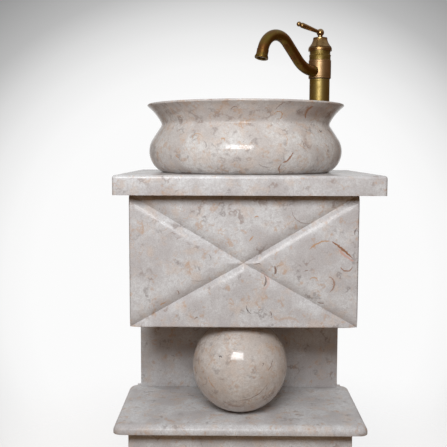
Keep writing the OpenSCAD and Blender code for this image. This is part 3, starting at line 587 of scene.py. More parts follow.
def effect_tree(effect: Effect) -> bpy.types.NodeTree:
    """The shader node group of an effect, built on its first use.

    Args:
        effect: Which one.

    Returns:
        Its node tree.
    """
    name = effect.name.lower()
    if name in bpy.data.node_groups:
        return bpy.data.node_groups[name]
    tree = bpy.data.node_groups.new(name, "ShaderNodeTree")
    tree.interface.new_socket("Vector", in_out="INPUT", socket_type="NodeSocketVector")
    for setting in effect.value:
        kind = "NodeSocketVector" if setting == "centre" else "NodeSocketFloat"
        tree.interface.new_socket(setting.capitalize(), in_out="INPUT", socket_type=kind)
    tree.interface.new_socket("Mask", in_out="OUTPUT", socket_type="NodeSocketFloat")
    group = EffectGroup(tree, tree.nodes.new("NodeGroupInput").outputs)
    builders = {Effect.CLOUDS: group.clouds, Effect.VEINS: group.veins,
                Effect.FLECKS: group.flecks, Effect.STROKE: group.stroke,
                Effect.LINES: group.lines, Effect.TARNISH: group.tarnish}
    group.put(group.node("NodeGroupOutput").inputs["Mask"], builders[effect]())
    return tree


@dataclass
class Coat(Graph):
    """The node tree of a material.

    Attributes:
        shader: Its Principled BSDF.
        where: The place on the object, in metres.
    """

    shader: bpy.types.Node
    where: Socket

    def feed(self, name: str, value: Value) -> None:
        """Links or sets one of the shader's sockets."""
        self.put(self.shader.inputs[name], value)

    def bump(self, height: Socket, depth: float) -> None:
        """Gives the shader a fine relief.

        Args:
            height: The relief, from 0 to 1.
            depth: Its depth, in metres.
        """
        node = self.node("ShaderNodeBump")
        node.inputs["Distance"].default_value = depth
        self.put(node.inputs["Height"], height)
        self.feed("Normal", node.outputs[0])


# Finishes


def light(shade: float) -> float:
    """A shade from 0 to 255 turned into light from 0 to 1."""
    part = shade / 255
    return part / 12.92 if part <= 0.04045 else ((part + 0.055) / 1.055) ** 2.4


def srgb(red: int, green: int, blue: int) -> Colour:
    """A colour as the eye sees it, from 0 to 255, turned into light."""
    return light(red), light(green), light(blue)


@unique
class Tone(Enum):
    """Tones of the marks in the stone."""

    RUST = srgb(150, 110, 84)
    BROWN = srgb(128, 98, 80)
    OCHRE = srgb(186, 146, 108)
    DARK = srgb(84, 72, 66)
    GREY = srgb(122, 110, 106)
    PINK = srgb(200, 162, 150)


@dataclass(frozen=True)
class Stroke:
    """A vein or mark that stands out on a piece's front.

    Attributes:
        start: Where it starts: X and Z in millimetres.
        bend: A point halfway.
        end: Where it ends.
        width: Half of its width at its thickest, in millimetres.
        tone: Its tone.
        strength: How strongly it shows.
    """

    start: Point
    bend: Point
    end: Point
    width: float
    tone: Tone
    strength: float = 0.85

    def ring(self) -> tuple[Vector, float, float, float]:
        """The ring that the stroke is a stretch of.

        Returns:
            Its centre and radius, its middle's angle, and half of its angle.
        """
        a, b, c = (Vector(p) * MM for p in (self.start, self.bend, self.end))
        twice = 2 * (a.x * (b.y - c.y) + b.x * (c.y - a.y) + c.x * (a.y - b.y))
        centre = Vector((
            (a.dot(a) * (b.y - c.y) + b.dot(b) * (c.y - a.y) + c.dot(c) * (a.y - b.y)) / twice,
            (a.dot(a) * (c.x - b.x) + b.dot(b) * (a.x - c.x) + c.dot(c) * (b.x - a.x)) / twice))
        middle = (a + c) / 2 - centre
        if (b - centre).dot(middle) <= 0:
            middle = -middle
        half = (a - centre).angle(middle)
        return centre, (a - centre).length, math.atan2(middle.y, middle.x), half


@dataclass(frozen=True)
class Finish:
    """A finish that a piece can wear.

    Attributes:
        name: The material's name.
        slot: The record's slot that it belongs to. Not used.
    """

    name: str
    slot: Slot

    def build(self) -> bpy.types.Material:
        """Builds the material.

        Returns:
            The material.
        """
        material = bpy.data.materials.new(self.name)
        material.use_nodes = True
        tree = material.node_tree
        where = tree.nodes.new("ShaderNodeTexCoord").outputs["Object"]
        self.dress(Coat(tree, tree.nodes["Principled BSDF"], where))
        return material

    def dress(self, coat: Coat) -> None:
        """Joins the finish's nodes to its shader.

        Args:
            coat: The material's tree.
        """
        raise NotImplementedError


@dataclass(frozen=True)
class Marble(Finish):
    """Polished shell limestone.

    Attributes:
        pale: Its palest ground.
        deep: Its deepest ground.
        blush: The tone of its warm patches.
        shift: Where in the block the piece was cut.
        mark_share: Share of the stone that holds marks.
        mark_strength: How strongly the marks show.
        warm_share: How much of the ground the warm patches take.
        vein_strength: How strongly the fine veins show.
        gloss: Its roughness where it is best polished.
        shine: How strongly its polish mirrors light.
        front: Strokes are drawn only where Y is less than this.
        strokes: The strokes that stand out.
    """

    pale: Colour = srgb(215, 216, 217)
    deep: Colour = srgb(193, 190, 190)
    blush: Colour = srgb(208, 193, 181)
    shift: Spot = (0.0, 0.0, 0.0)
    mark_share: float = 0.4
    mark_strength: float = 0.5
    warm_share: float = 0.38
    vein_strength: float = 0.38
    gloss: float = 0.12
    shine: float = 0.5
    front: float = -0.19
    strokes: tuple[Stroke, ...] = ()

    def dress(self, coat: Coat) -> None:
        """Joins the stone's nodes to its shader.

        Args:
            coat: The material's tree.
        """
        cut = coat.vector("ADD", coat.where, self.shift)
        far = coat.vector("ADD", cut, (0.73, 0.41, 0.19))
        near = coat.vector("ADD", cut, (0.29, 0.83, 0.57))
        broad = coat.place(Effect.CLOUDS, cut, scale=16.0, low=0.38, high=0.64)
        fine = coat.place(Effect.CLOUDS, cut, scale=150.0, low=0.42, high=0.62)
        warm = coat.place(Effect.CLOUDS, cut, scale=38.0, low=0.66 - self.warm_share * 0.4,
                          high=0.80 - self.warm_share * 0.3)
        grain = coat.place(Effect.CLOUDS, cut, scale=420.0, low=0.35, high=0.65)
        pits = coat.place(Effect.FLECKS, far, scale=95.0, size=0.11, share=0.12)
        colour = coat.mix(broad, self.pale, self.deep)
        for mask, strength, tone in ((fine, 0.5, self.deep), (warm, 0.55, self.blush),
                                     (grain, 0.2, Tone.GREY.value)):
            colour = coat.mix(coat.times(mask, strength), colour, tone)
        marks = self.mark_share
        layers = (
            (coat.place(Effect.VEINS, cut, scale=26.0, width=0.022, share=0.46),
             self.vein_strength, Tone.OCHRE),
            (coat.place(Effect.VEINS, far, scale=44.0, width=0.016, share=0.42),
             self.vein_strength * 0.8, Tone.GREY),
            (coat.place(Effect.VEINS, cut, scale=30.0, width=0.055, share=marks),
             self.mark_strength, Tone.BROWN),
            (coat.place(Effect.VEINS, far, scale=56.0, width=0.10, share=marks),
             self.mark_strength, Tone.OCHRE),
            (coat.place(Effect.VEINS, near, scale=44.0, width=0.07, share=marks),
             self.mark_strength, Tone.GREY),
            (coat.place(Effect.FLECKS, cut, scale=70.0, size=0.14, share=0.12),
             0.4, Tone.OCHRE),
            (pits, 0.6, Tone.DARK))
        marked: Value = 0.0
        for mask, strength, tone in layers:
            share = coat.times(mask, strength)
            colour = coat.mix(share, colour, tone.value)
            marked = coat.math("MAXIMUM", marked, share)
        coat.feed("Base Color", self.draw(coat, colour))
        rough = coat.plus(coat.times(fine, 0.03), coat.times(marked, 0.10))
        coat.feed("Roughness", coat.plus(rough, self.gloss))
        coat.feed("Specular IOR Level", self.shine)
        coat.bump(coat.minus(coat.times(grain, 0.1), pits), 0.06 * MM)

    def draw(self, coat: Coat, colour: Socket) -> Socket:
        """Draws the strokes that stand out.

        Args:
            coat: The material's tree.
            colour: The stone's colour so far.

        Returns:
            The colour with the strokes.
        """
        if not self.strokes:
            return colour
        spot = coat.bent(coat.where, 160.0, 5 * MM)
        ahead = coat.math("LESS_THAN", coat.split("XYZ", coat.where)[1], self.front)
        for mark in self.strokes:
            centre, radius, middle, half = mark.ring()
            mask = coat.place(Effect.STROKE, spot, centre=(centre.x, 0.0, centre.y),
                              radius=radius, middle=middle, half=half, width=mark.width * MM)
            share = coat.times(coat.times(mask, ahead), mark.strength)
            colour = coat.mix(share, colour, mark.tone.value)
        return colour


@dataclass(frozen=True)
class Metal(Finish):
    """A bare or aged metal.

    Attributes:
        colour: Where it is clean.
        aged: Where it is tarnished.
        share: How much of it is tarnished.
        gloss: Roughness where it is clean.
        dull: Roughness that tarnish adds.
        along: Tool marks in a metre along the axis.
        across: Tool marks in a metre round the axis.
        lacquer: How much of it is under clear lacquer.
        specks: How strongly its dark specks show.
    """

    colour: Colour
    aged: Colour
    share: float
    gloss: float
    dull: float
    along: float = 900.0
    across: float = 20.0
    lacquer: float = 0.0
    specks: float = 0.35

    def dress(self, coat: Coat) -> None:
        """Joins the metal's nodes to its shader.

        Args:
            coat: The material's tree.
        """
        old = coat.place(Effect.TARNISH, coat.where, scale=45.0, share=self.share)
        marks = coat.place(Effect.LINES, coat.where, along=self.along, across=self.across)
        dark = coat.place(Effect.FLECKS, coat.where, scale=260.0, size=0.16, share=0.12)
        colour = coat.mix(old, self.colour, self.aged)
        coat.feed("Base Color", coat.mix(coat.times(dark, self.specks), colour, self.aged))
        rough = coat.plus(coat.times(old, self.dull), coat.times(marks, 0.12))
        coat.feed("Roughness", coat.plus(rough, self.gloss - 0.06))
        coat.feed("Metallic", 1.0)
        coat.feed("Coat Weight", self.lacquer)
        coat.feed("Coat Roughness", 0.35)
        coat.bump(marks, 0.01 * MM)


@dataclass(frozen=True)
class Moulded(Finish):
    """A moulded material, such as rubber, plastic or sealant.

    Attributes:
        colour: Its main colour.
        faded: Its colour where it is dusty or faded.
        gloss: Its roughness.
        pores: Pores in a metre.
    """

    colour: Colour
    faded: Colour
    gloss: float
    pores: float = 900.0

    def dress(self, coat: Coat) -> None:
        """Joins the material's nodes to its shader.

        Args:
            coat: The material's tree.
        """
        dust = coat.place(Effect.CLOUDS, coat.where, scale=60.0, low=0.4, high=0.7)
        skin = coat.place(Effect.CLOUDS, coat.where, scale=self.pores, low=0.3, high=0.7)
        coat.feed("Base Color", coat.mix(dust, self.colour, self.faded))
        rough = coat.plus(coat.times(dust, 0.12), coat.times(skin, 0.08))
        coat.feed("Roughness", coat.plus(rough, self.gloss - 0.1))
        coat.bump(skin, 0.03 * MM)


PANEL_STROKES = (
    Stroke((163, 631), (188, 612), (206, 596), 3.4, Tone.RUST, 1.0),
    Stroke((176, 616), (192, 601), (209, 590), 3.6, Tone.PINK),
    Stroke((120, 612), (142, 628), (163, 631), 2.4, Tone.OCHRE),
    Stroke((182, 581), (193, 572), (206, 582), 2.4, Tone.RUST, 0.8),
    Stroke((158, 561), (168, 553), (159, 529), 2.6, Tone.RUST, 0.7),
    Stroke((122, 553), (130, 559), (138, 552), 2.6, Tone.OCHRE, 0.7),
    Stroke((52, 582), (56, 573), (53, 563), 3.4, Tone.BROWN),
    Stroke((112, 571), (115, 573), (118, 571), 1.6, Tone.BROWN),
    Stroke((14, 582), (21, 586), (28, 583), 1.4, Tone.DARK, 0.7),
    Stroke((86, 694), (95, 672), (130, 668), 1.0, Tone.BROWN, 0.7),
    Stroke((-1, 503), (2, 492), (9, 484), 1.4, Tone.DARK),
    Stroke((45, 492), (49, 486), (47, 478), 1.4, Tone.GREY),
    Stroke((34, 562), (37, 552), (32, 540), 2.8, Tone.GREY),
    Stroke((26, 566), (42, 552), (30, 534), 5.0, Tone.PINK, 0.4),
    Stroke((214, 656), (209, 650), (210, 642), 2.0, Tone.GREY),
    Stroke((138, 510), (144, 507), (151, 508), 1.8, Tone.BROWN),
    Stroke((4, 629), (8, 635), (13, 640), 2.4, Tone.OCHRE),
    Stroke((13, 676), (18, 678), (22, 676), 2.0, Tone.OCHRE),
    Stroke((-171, 501), (-164, 506), (-157, 509), 2.0, Tone.OCHRE),
    Stroke((-138, 531), (-134, 527), (-136, 523), 1.5, Tone.BROWN),
    Stroke((-75, 604), (-71, 597), (-73, 590), 1.2, Tone.GREY, 0.6),
    Stroke((-112, 554), (-94, 550), (-80, 553), 0.9, Tone.GREY, 0.5),
    Stroke((60, 470), (84, 478), (104, 468), 5.0, Tone.OCHRE, 0.35),
    Stroke((-102, 474), (-100, 478), (-96, 477), 1.6, Tone.BROWN),
)
BOWL_STROKES = (
    Stroke((88, 803), (81, 790), (66, 780), 2.8, Tone.RUST, 0.9),
    Stroke((66, 779), (61, 771), (64, 761), 2.4, Tone.RUST, 0.9),
    # the next two wide brown bands darken the flare on its right and on its left
    Stroke((92, 874), (135, 882), (178, 872), 18.0, Tone.BROWN, 0.4),
    Stroke((-190, 884), (-160, 880), (-128, 886), 9.0, Tone.BROWN, 0.22),
    Stroke((131, 892), (118, 884), (115, 867), 3.2, Tone.RUST, 0.9),
    Stroke((52, 872), (61, 880), (55, 867), 1.4, Tone.OCHRE),
    Stroke((52, 882), (58, 889), (72, 897), 1.4, Tone.BROWN, 0.7),
    Stroke((-33, 880), (-27, 888), (-19, 885), 1.2, Tone.BROWN, 0.7),
    Stroke((-108, 826), (-98, 838), (-88, 830), 1.6, Tone.OCHRE, 0.7),
    Stroke((-51, 824), (-48, 828), (-46, 822), 2.0, Tone.OCHRE, 0.7),
    Stroke((146, 847), (149, 844), (152, 846), 2.0, Tone.DARK, 0.7),
    Stroke((-142, 797), (-139, 792), (-135, 791), 1.8, Tone.OCHRE, 0.8),
    Stroke((70, 840), (76, 828), (72, 812), 1.4, Tone.OCHRE, 0.6),
    Stroke((-86, 822), (-80, 817), (-82, 809), 1.8, Tone.GREY, 0.5),
    Stroke((20, 780), (34, 773), (48, 774), 1.6, Tone.GREY, 0.5),
    Stroke((92, 818), (108, 812), (118, 800), 1.4, Tone.OCHRE, 0.5),
)
BALL_STROKES = (
    Stroke((-53, 399), (-51, 402), (-49, 399), 2.0, Tone.DARK, 0.8),
    Stroke((-45, 308), (-24, 298), (-2, 300), 4.6, Tone.RUST, 0.45),
    Stroke((52, 392), (49, 382), (42, 373), 1.6, Tone.BROWN, 0.7),
    Stroke((44, 350), (16, 322), (-20, 314), 1.4, Tone.BROWN, 0.6),
    Stroke((-76, 360), (-70, 345), (-60, 335), 1.8, Tone.OCHRE, 0.6),
    Stroke((30, 390), (33, 387), (31, 383), 1.6, Tone.GREY, 0.7),
)


@dataclass(frozen=True)
class Palette:
    """The finishes, chosen piece by piece."""

    slab: Finish = Marble("slab_stone", Slot.STONE, shift=(0.31, 0.12, 0.05), gloss=0.2,
                          shine=0.4)
    panel: Finish = Marble("panel_stone", Slot.STONE, gloss=0.14, shine=0.13,
                           strokes=PANEL_STROKES)
    base: Finish = Marble("base_stone", Slot.STONE, shift=(0.55, 0.37, 0.21), gloss=0.3,
                          shine=0.2)
    bowl: Finish = Marble("bowl_stone", Slot.WARM_STONE, pale=srgb(217, 216, 214),
                          deep=srgb(194, 188, 184), shift=(0.9, 0.15, 0.4), mark_share=0.46,
                          mark_strength=0.42, warm_share=0.42, vein_strength=0.5, gloss=0.08,
                          shine=0.24, front=-0.02, strokes=BOWL_STROKES)
    ball: Finish = Marble("ball_stone", Slot.WARM_STONE, pale=srgb(216, 213, 210),
                          deep=srgb(197, 188, 181), shift=(0.2, 0.95, 0.7), mark_share=0.46,
                          mark_strength=0.38, warm_share=0.44, vein_strength=0.5, shine=0.42,
                          front=-0.12, strokes=BALL_STROKES)
    column: Finish = Metal("olive_brass", Slot.ANTIQUE_BRASS, srgb(154, 134, 78),
                           srgb(140, 116, 50), 0.45, 0.48, 0.06, lacquer=0.3, specks=0.15)
    sleeve: Finish = Metal("rosy_brass", Slot.ANTIQUE_BRASS, srgb(174, 142, 100),
                           srgb(150, 120, 80), 0.45, 0.46, 0.06, lacquer=0.4, specks=0.15)
    spout: Finish = Metal("brown_brass", Slot.ANTIQUE_BRASS, srgb(132, 112, 36),
                          srgb(128, 82, 30), 0.5, 0.3, 0.06, 60.0, 60.0, lacquer=0.45,
                          specks=0.12)
    lever: Finish = Metal("dark_brass", Slot.ANTIQUE_BRASS, srgb(184, 150, 98),
                          srgb(128, 98, 56), 0.5, 0.28, 0.1, 300.0, 60.0, lacquer=0.4,
                          specks=0.2)
    plain: Finish = Metal("plain_brass", Slot.PLAIN_BRASS, srgb(212, 176, 98),
                          srgb(150, 112, 54), 0.3, 0.26, 0.12)
    steel: Finish = Metal("steel", Slot.STEEL, srgb(196, 196, 194), srgb(150, 148, 144), 0.3,
                          0.26, 0.1)
    copper: Finish = Metal("copper", Slot.COPPER, srgb(206, 134, 100), srgb(132, 76, 50), 0.45,
                           0.24, 0.16, 40.0, 200.0)
    rubber: Finish = Moulded("rubber", Slot.RUBBER, srgb(38, 38, 38), srgb(64, 62, 60), 0.55)
    plastic: Finish = Moulded("white_plastic", Slot.WHITE_PLASTIC, srgb(228, 226, 218),
                              srgb(208, 204, 192), 0.4)
    # The glide ring is white plastic; it is drawn dark brown to match the dark line at the seam
    # under the sleeve.
    glide: Finish = Moulded("dark_plastic", Slot.WHITE_PLASTIC, srgb(48, 40, 30),
                            srgb(66, 56, 42), 0.45)
    sealant: Finish = Moulded("sealant", Slot.SEALANT, srgb(212, 204, 192), srgb(186, 176, 162),
                              0.35, 300.0)


# The workshop


@dataclass(frozen=True)
class Room:
    """The box that a CAD node takes at rest.

    Attributes:
        low: Its lowest corner.
        high: Its highest corner.
    """

    low: Vector
    high: Vector

    @property
    def middle(self) -> Vector:
        """Its middle."""
        return (self.low + self.high) / 2

    @property
    def radius(self) -> float:
        """Half of its width."""
        return (self.high.x - self.low.x) / 2

    @property
    def depth(self) -> float:
        """Its depth from front to back."""
        return self.high.y - self.low.y

    @property
    def height(self) -> float:
        """Its height."""
        return self.high.z - self.low.z

    def stand(self, height: float) -> Matrix:
        """A frame on its upright axis, at a height."""
        return Matrix.Translation((self.middle.x, self.middle.y, height))


@dataclass
class Workshop:
    """Makes pieces, dresses CAD nodes and keeps each finish's material.

    Attributes:
        nodes: The CAD nodes, by name.
        materials: The materials built so far, by name.
        made: How many pieces have been made.
    """

    nodes: dict[str, bpy.types.Object]
    materials: dict[str, bpy.types.Material] = field(default_factory=dict)
    made: int = 0

    def material(self, finish: Finish) -> bpy.types.Material:
        """The material of a finish, built on its first use.

        Args:
            finish: The finish.

        Returns:
            Its material.
        """
        if finish.name not in self.materials:
            self.materials[finish.name] = finish.build()
        return self.materials[finish.name]

    def make(self, name: str, mesh: Mesh, finish: Finish, *replaces: str,
             body: Body = Body.ROOT) -> None:
        """Makes a piece.

        Args:
            name: The piece's name.
            mesh: Its vertices and faces, in the CAD's frame.
            finish: What it wears.
            replaces: The CAD nodes that it stands for.
            body: The body it rides on.
        """
        data = bpy.data.meshes.new(name)
        data.from_pydata([tuple(p) for p in mesh[0]], [], mesh[1])
        data.validate()
        tool = bmesh.new()
        tool.from_mesh(data)
        bmesh.ops.remove_doubles(tool, verts=tool.verts, dist=SAME_SPOT)
        bmesh.ops.recalc_face_normals(tool, faces=tool.faces)
        tool.to_mesh(data)
        tool.free()
        data.shade_smooth()
        data.set_sharp_from_angle(angle=SHARP_ANGLE)
        data.materials.append(self.material(finish))
        piece = bpy.data.objects.new(name, data)
        bpy.context.scene.collection.objects.link(piece)
        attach(piece, body.value)
        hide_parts(*replaces)
        self.made += 1
        LOG.info("made %s: %d faces, on %s", name, len(data.polygons), body.value)

    def dress(self, finish: Finish, bevel: float, *nodes: str) -> None:
        """Gives CAD nodes a finish and rounds their sharp edges.

        Args:
            finish: What they wear.
            bevel: Radius of the rounding, or 0.
            nodes: The CAD nodes.
        """
        for node in nodes:
            piece = self.nodes[node]
            piece.data.materials.clear()
            piece.data.materials.append(self.material(finish))
            piece.modifiers.new("weld", "WELD").merge_threshold = SAME_CORNER
            if bevel:
                edge = piece.modifiers.new("edge", "BEVEL")
                edge.width = bevel
                edge.segments = 2
                edge.limit_method = "ANGLE"
                edge.angle_limit = BEVEL_ANGLE
                edge.use_clamp_overlap = True
            piece.modifiers.new("smooth", "NODES").node_group = smooth_group()
            LOG.info("dressed %s as %s", node, finish.name)


def smooth_group() -> bpy.types.NodeTree:
    """The geometry nodes that shade a CAD node smooth, except across its edges.

    Returns:
        Their tree, built on its first use.
    """
    name = "smooth_by_angle"
    if name in bpy.data.node_groups:
        return bpy.data.node_groups[name]
    tree = bpy.data.node_groups.new(name, "GeometryNodeTree")
    for way in ("INPUT", "OUTPUT"):
        tree.interface.new_socket("Geometry", in_out=way, socket_type="NodeSocketGeometry")
    graph = Graph(tree)
    test = graph.node("FunctionNodeCompare", data_type="FLOAT", operation="LESS_EQUAL")
    graph.put(test.inputs[0],
              graph.node("GeometryNodeInputMeshEdgeAngle").outputs["Unsigned Angle"])
    graph.put(test.inputs[1], SHARP_ANGLE)
    faces = graph.node("GeometryNodeSetShadeSmooth", domain="FACE")
    edges = graph.node("GeometryNodeSetShadeSmooth", domain="EDGE")
    graph.put(faces.inputs["Geometry"], graph.node("NodeGroupInput").outputs[0])
    graph.put(edges.inputs["Geometry"], faces.outputs[0])
    graph.put(edges.inputs["Shade Smooth"], test.outputs[0])
    graph.put(graph.node("NodeGroupOutput").inputs[0], edges.outputs[0])
    return tree


# Sub-assemblies


@dataclass
class Assembly:
    """A sub-assembly of the basin.

    Attributes:
        shop: The workshop that makes its pieces.
        wear: The finishes that they wear.
    """

    shop: Workshop
    wear: Palette

    def build(self) -> None:
        """Makes and dresses the pieces."""
        raise NotImplementedError


@dataclass
class StoneBase(Assembly):
    """The slabs and panels, the carved front and the ball.

    Attributes:
        groove_depth: Depth of the crossing grooves.
        shoulder_w: Width of the rounded shoulder beside a groove.
        cross_drop: How far below the panel's middle the grooves cross.
        edge_r: Rounding of the carved panel's outer edges.
        lattice: Rows of mesh in each of the carved panel's triangles.
        slab_edge: Rounding of the slabs' edges.
        dowel_edge: Rounding of the dowels' edges.
        ball_flat: How far the ball is ground flat at the top and the bottom.
    """

    groove_depth: float = 8 * MM
    shoulder_w: float = 25 * MM
    cross_drop: float = 4 * MM
    edge_r: float = 3 * MM
    lattice: int = 160
    slab_edge: float = 0.6 * MM
    dowel_edge: float = 0.4 * MM
    ball_flat: float = 2.7 * MM

    def carved_depth(self, across: float, to_edge: float) -> float:
        """How far the carved face lies behind the panel's front.

        Args:
            across: Distance from the nearest groove.
            to_edge: Distance from the nearest rounded outer edge.

        Returns:
            The depth.
        """
        depth = 0.0
        if across < self.shoulder_w:
            r = (self.shoulder_w ** 2 + self.groove_depth ** 2) / (2 * self.groove_depth)
            depth = r - math.sqrt(r * r - (self.shoulder_w - across) ** 2)
        if to_edge < self.edge_r:
            square = max(self.edge_r ** 2 - (self.edge_r - to_edge) ** 2, 0.0)
            depth = max(depth, self.edge_r - math.sqrt(square))
        return depth

    def carved_mesh(self) -> Mesh:
        """The carved panel, with mesh lines that run along its grooves.

        Returns:
            Vertices and faces.
        """
        room = Room(*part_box("carved_front_panel"))
        middle = room.middle - Vector((0.0, 0.0, self.cross_drop))
        half_w = room.radius
        under, over = middle.z - room.low.z, room.high.z - middle.z
        corners = [Vector((-half_w, -under)), Vector((half_w, -under)), Vector((half_w, over)),
                   Vector((-half_w, over))]
        points: list[Vector] = []
        faces: list[tuple[int, ...]] = []
        rim: list[list[int]] = []
        n = self.lattice
        for side, a in enumerate(corners):
            b = corners[(side + 1) % 4]
            sine = abs(a.normalized().cross(b.normalized()))
            index: dict[tuple[int, int], int] = {}
            for i in range(n + 1):
                for j in range(n + 1 - i):
                    spot = a * (i / n) + b * (j / n)
                    across = min(i * a.length, j * b.length) / n * sine
                    to_edge = min(half_w - abs(spot.x), under + spot.y)
                    depth = self.carved_depth(across, to_edge)
                    index[i, j] = len(points)
                    points.append(Vector((middle.x + spot.x, room.low.y + depth,
                                          middle.z + spot.y)))
            for i in range(n):
                for j in range(n - i):
                    around = ((i, j), (i + 1, j), (i + 1, j + 1), (i, j + 1))
                    faces.append(tuple(index[key] for key in around if key in index))
            rim.append([index[n - j, j] for j in range(n + 1)])
        back: list[int] = []
        for row in rim:
            start = len(points)
            points += [Vector((points[i].x, room.high.y, points[i].z)) for i in row]
            faces += [(row[k], start + k, start + k + 1, row[k + 1]) for k in range(n)]
            back += list(range(start, start + n))
        faces.append(tuple(back))
        return points, faces

    def ball_mesh(self) -> Mesh:
        """The ball, ground flat where it touches the shelf and the soffit.

        Returns:
            Vertices and faces.
        """
        room = Room(*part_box("stone_ball"))
        half = room.height / 2
        radius = half + self.ball_flat
        lean = math.degrees(math.asin(half / radius))
        outline = [(0.0, -half)] + arc((0.0, 0.0), radius, -lean, lean, 120) + [(0.0, half)]
        return revolve(outline, 192, Matrix.Translation(room.middle))

    def build(self) -> None:
        """Makes and dresses the stone pieces and the ball's dowels."""
        shop, wear = self.shop, self.wear
        shop.dress(wear.slab, self.slab_edge, "counter_slab")
        shop.dress(wear.panel, self.slab_edge, "upper_left_panel", "upper_right_panel",
                   "upper_soffit")
        shop.dress(wear.base, self.slab_edge, "shelf_slab", "column_front_panel",
                   "column_left_panel", "column_right_panel", "plinth_front_panel",
                   "plinth_left_panel", "plinth_right_panel")
        shop.make("carved_front", self.carved_mesh(), wear.panel, "carved_front_panel")
        shop.make("ball", self.ball_mesh(), wear.ball, "stone_ball")
        shop.dress(wear.steel, self.dowel_edge, "ball_dowels")


@dataclass
class Bowl(Assembly):
    """The turned bowl and its bed of sealant.

    Attributes:
        belly_r: Largest radius of the belly.
        belly_curve_r: Radius of the belly's curve.
        belly_z: Height of the belly's widest ring.
        neck_r: Radius of the neck.
        neck_z: Height of the neck.
        neck_ease: How far the rounding in the neck reaches down.
        flare_lean: Lean of the flare at the neck, in degrees from upright.
        lip_r: Outer radius of the lip.
        nose_r: Radius of the lip's nose.
        nose_start: Where the nose starts, in degrees below level.
        nose_end: Where the nose ends, in degrees above level.
        wall: Thickness of the wall at the neck.
        floor_t: Thickness of the floor at the drain.
        curve_r: Radius between the floor and the wall.
        floor_slope: Fall of the floor, in degrees.
        recess_r: Radius of the flange's recess.
        recess_depth: Depth of the recess.
        recess_edge: Chamfer of the recess's edge.
        hole_r: Radius of the drain's hole.
    """

    belly_r: float = 208.5 * MM
    belly_curve_r: float = 49 * MM
    belly_z: float = 44 * MM
    neck_r: float = 180.5 * MM
    neck_z: float = 101 * MM
    neck_ease: float = 5 * MM
    flare_lean: float = 25.0
    lip_r: float = 212 * MM
    nose_r: float = 2.5 * MM
    nose_start: float = 50.0
    nose_end: float = 104.0
    wall: float = 16 * MM
    floor_t: float = 24 * MM
    curve_r: float = 62 * MM
    floor_slope: float = 3.0
    recess_r: float = 32.5 * MM
    recess_depth: float = 4 * MM
    recess_edge: float = 0.8 * MM
    hole_r: float = 23 * MM

    def outside(self, nose: Vector) -> list[Point]:
        """The outside of the bowl, from the foot over the belly and the flare to the nose.

        Args:
            nose: Middle of the lip's nose.

        Returns:
            Radius and height above the foot of each point.
        """
        belly = Vector((self.belly_r - self.belly_curve_r, self.belly_z))
        neck = Vector((self.neck_r, self.neck_z))
        foot = -math.degrees(math.asin(self.belly_z / self.belly_curve_r))
        reach = neck - belly
        belly_end = (math.degrees(math.atan2(reach.y, reach.x))
                     - math.degrees(math.acos(self.belly_curve_r / reach.length)))
        chord = nose + self.nose_r * heading(-self.nose_start) - neck
        half_turn = math.degrees(math.atan2(chord.x, chord.y)) - self.flare_lean
        flare_r = chord.length / (2 * math.sin(math.radians(half_turn)))
        flare = neck + flare_r * heading(-self.flare_lean)
        turn = 180 - self.flare_lean
        # the easing takes the place of its first points, and the nose starts at its last
        rise = arc(flare, flare_r, turn, turn - 2 * half_turn, 28)[3:-1]
        below = belly + self.belly_curve_r * heading(belly_end)
        first = neck + (below - neck).normalized() * self.neck_ease
        last = Vector(rise[0])
        eased = [tuple(first * (1 - t) ** 2 + neck * (2 * t * (1 - t)) + last * t ** 2)
                 for t in (k / 10 for k in range(10))]
        return arc(belly, self.belly_curve_r, foot, belly_end, 48) + eased + rise

    def outline(self, height: float) -> list[Point]:
        """The bowl's outline, from the drain's foot round the outside and back.

        Args:
            height: Height of the bowl.

        Returns:
            Radius and height above the foot of each point.
        """
        nose = Vector((self.lip_r - self.nose_r, height - self.nose_r))
        inner_r = self.neck_r - self.wall
        slope = math.radians(self.floor_slope)
        floor_rim = inner_r - self.curve_r + self.curve_r * math.sin(slope)
        inner_z = (self.floor_t + (floor_rim - self.recess_r) * math.tan(slope)
                   + self.curve_r * math.cos(slope))
        chord = nose + self.nose_r * heading(self.nose_end) - Vector((inner_r, inner_z))
        turn = math.degrees(math.atan2(chord.x, chord.y))
        flare_r = chord.length / (2 * math.sin(math.radians(turn)))
        seat = self.floor_t - self.recess_depth
        return ([(self.hole_r, 0.0)] + self.outside(nose)
                + arc(nose, self.nose_r, -self.nose_start, self.nose_end, 14)
                + arc((inner_r + flare_r, inner_z), flare_r, 180 - 2 * turn, 180, 28)[1:]
                + arc((inner_r - self.curve_r, inner_z), self.curve_r, 0,
                      self.floor_slope - 90, 32)[1:]
                + [(self.recess_r + self.recess_edge, self.floor_t),
                   (self.recess_r, self.floor_t - self.recess_edge),
                   (self.recess_r, seat), (self.hole_r, seat)])

    def build(self) -> None:
        """Makes the bowl and dresses its bed."""
        room = Room(*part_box("basin_bowl"))
        mesh = revolve(self.outline(room.height), 256, room.stand(room.low.z))
        self.shop.make("turned_bowl", mesh, self.wear.bowl, "basin_bowl")
        self.shop.dress(self.wear.sealant, 0.0, "bowl_sealant")


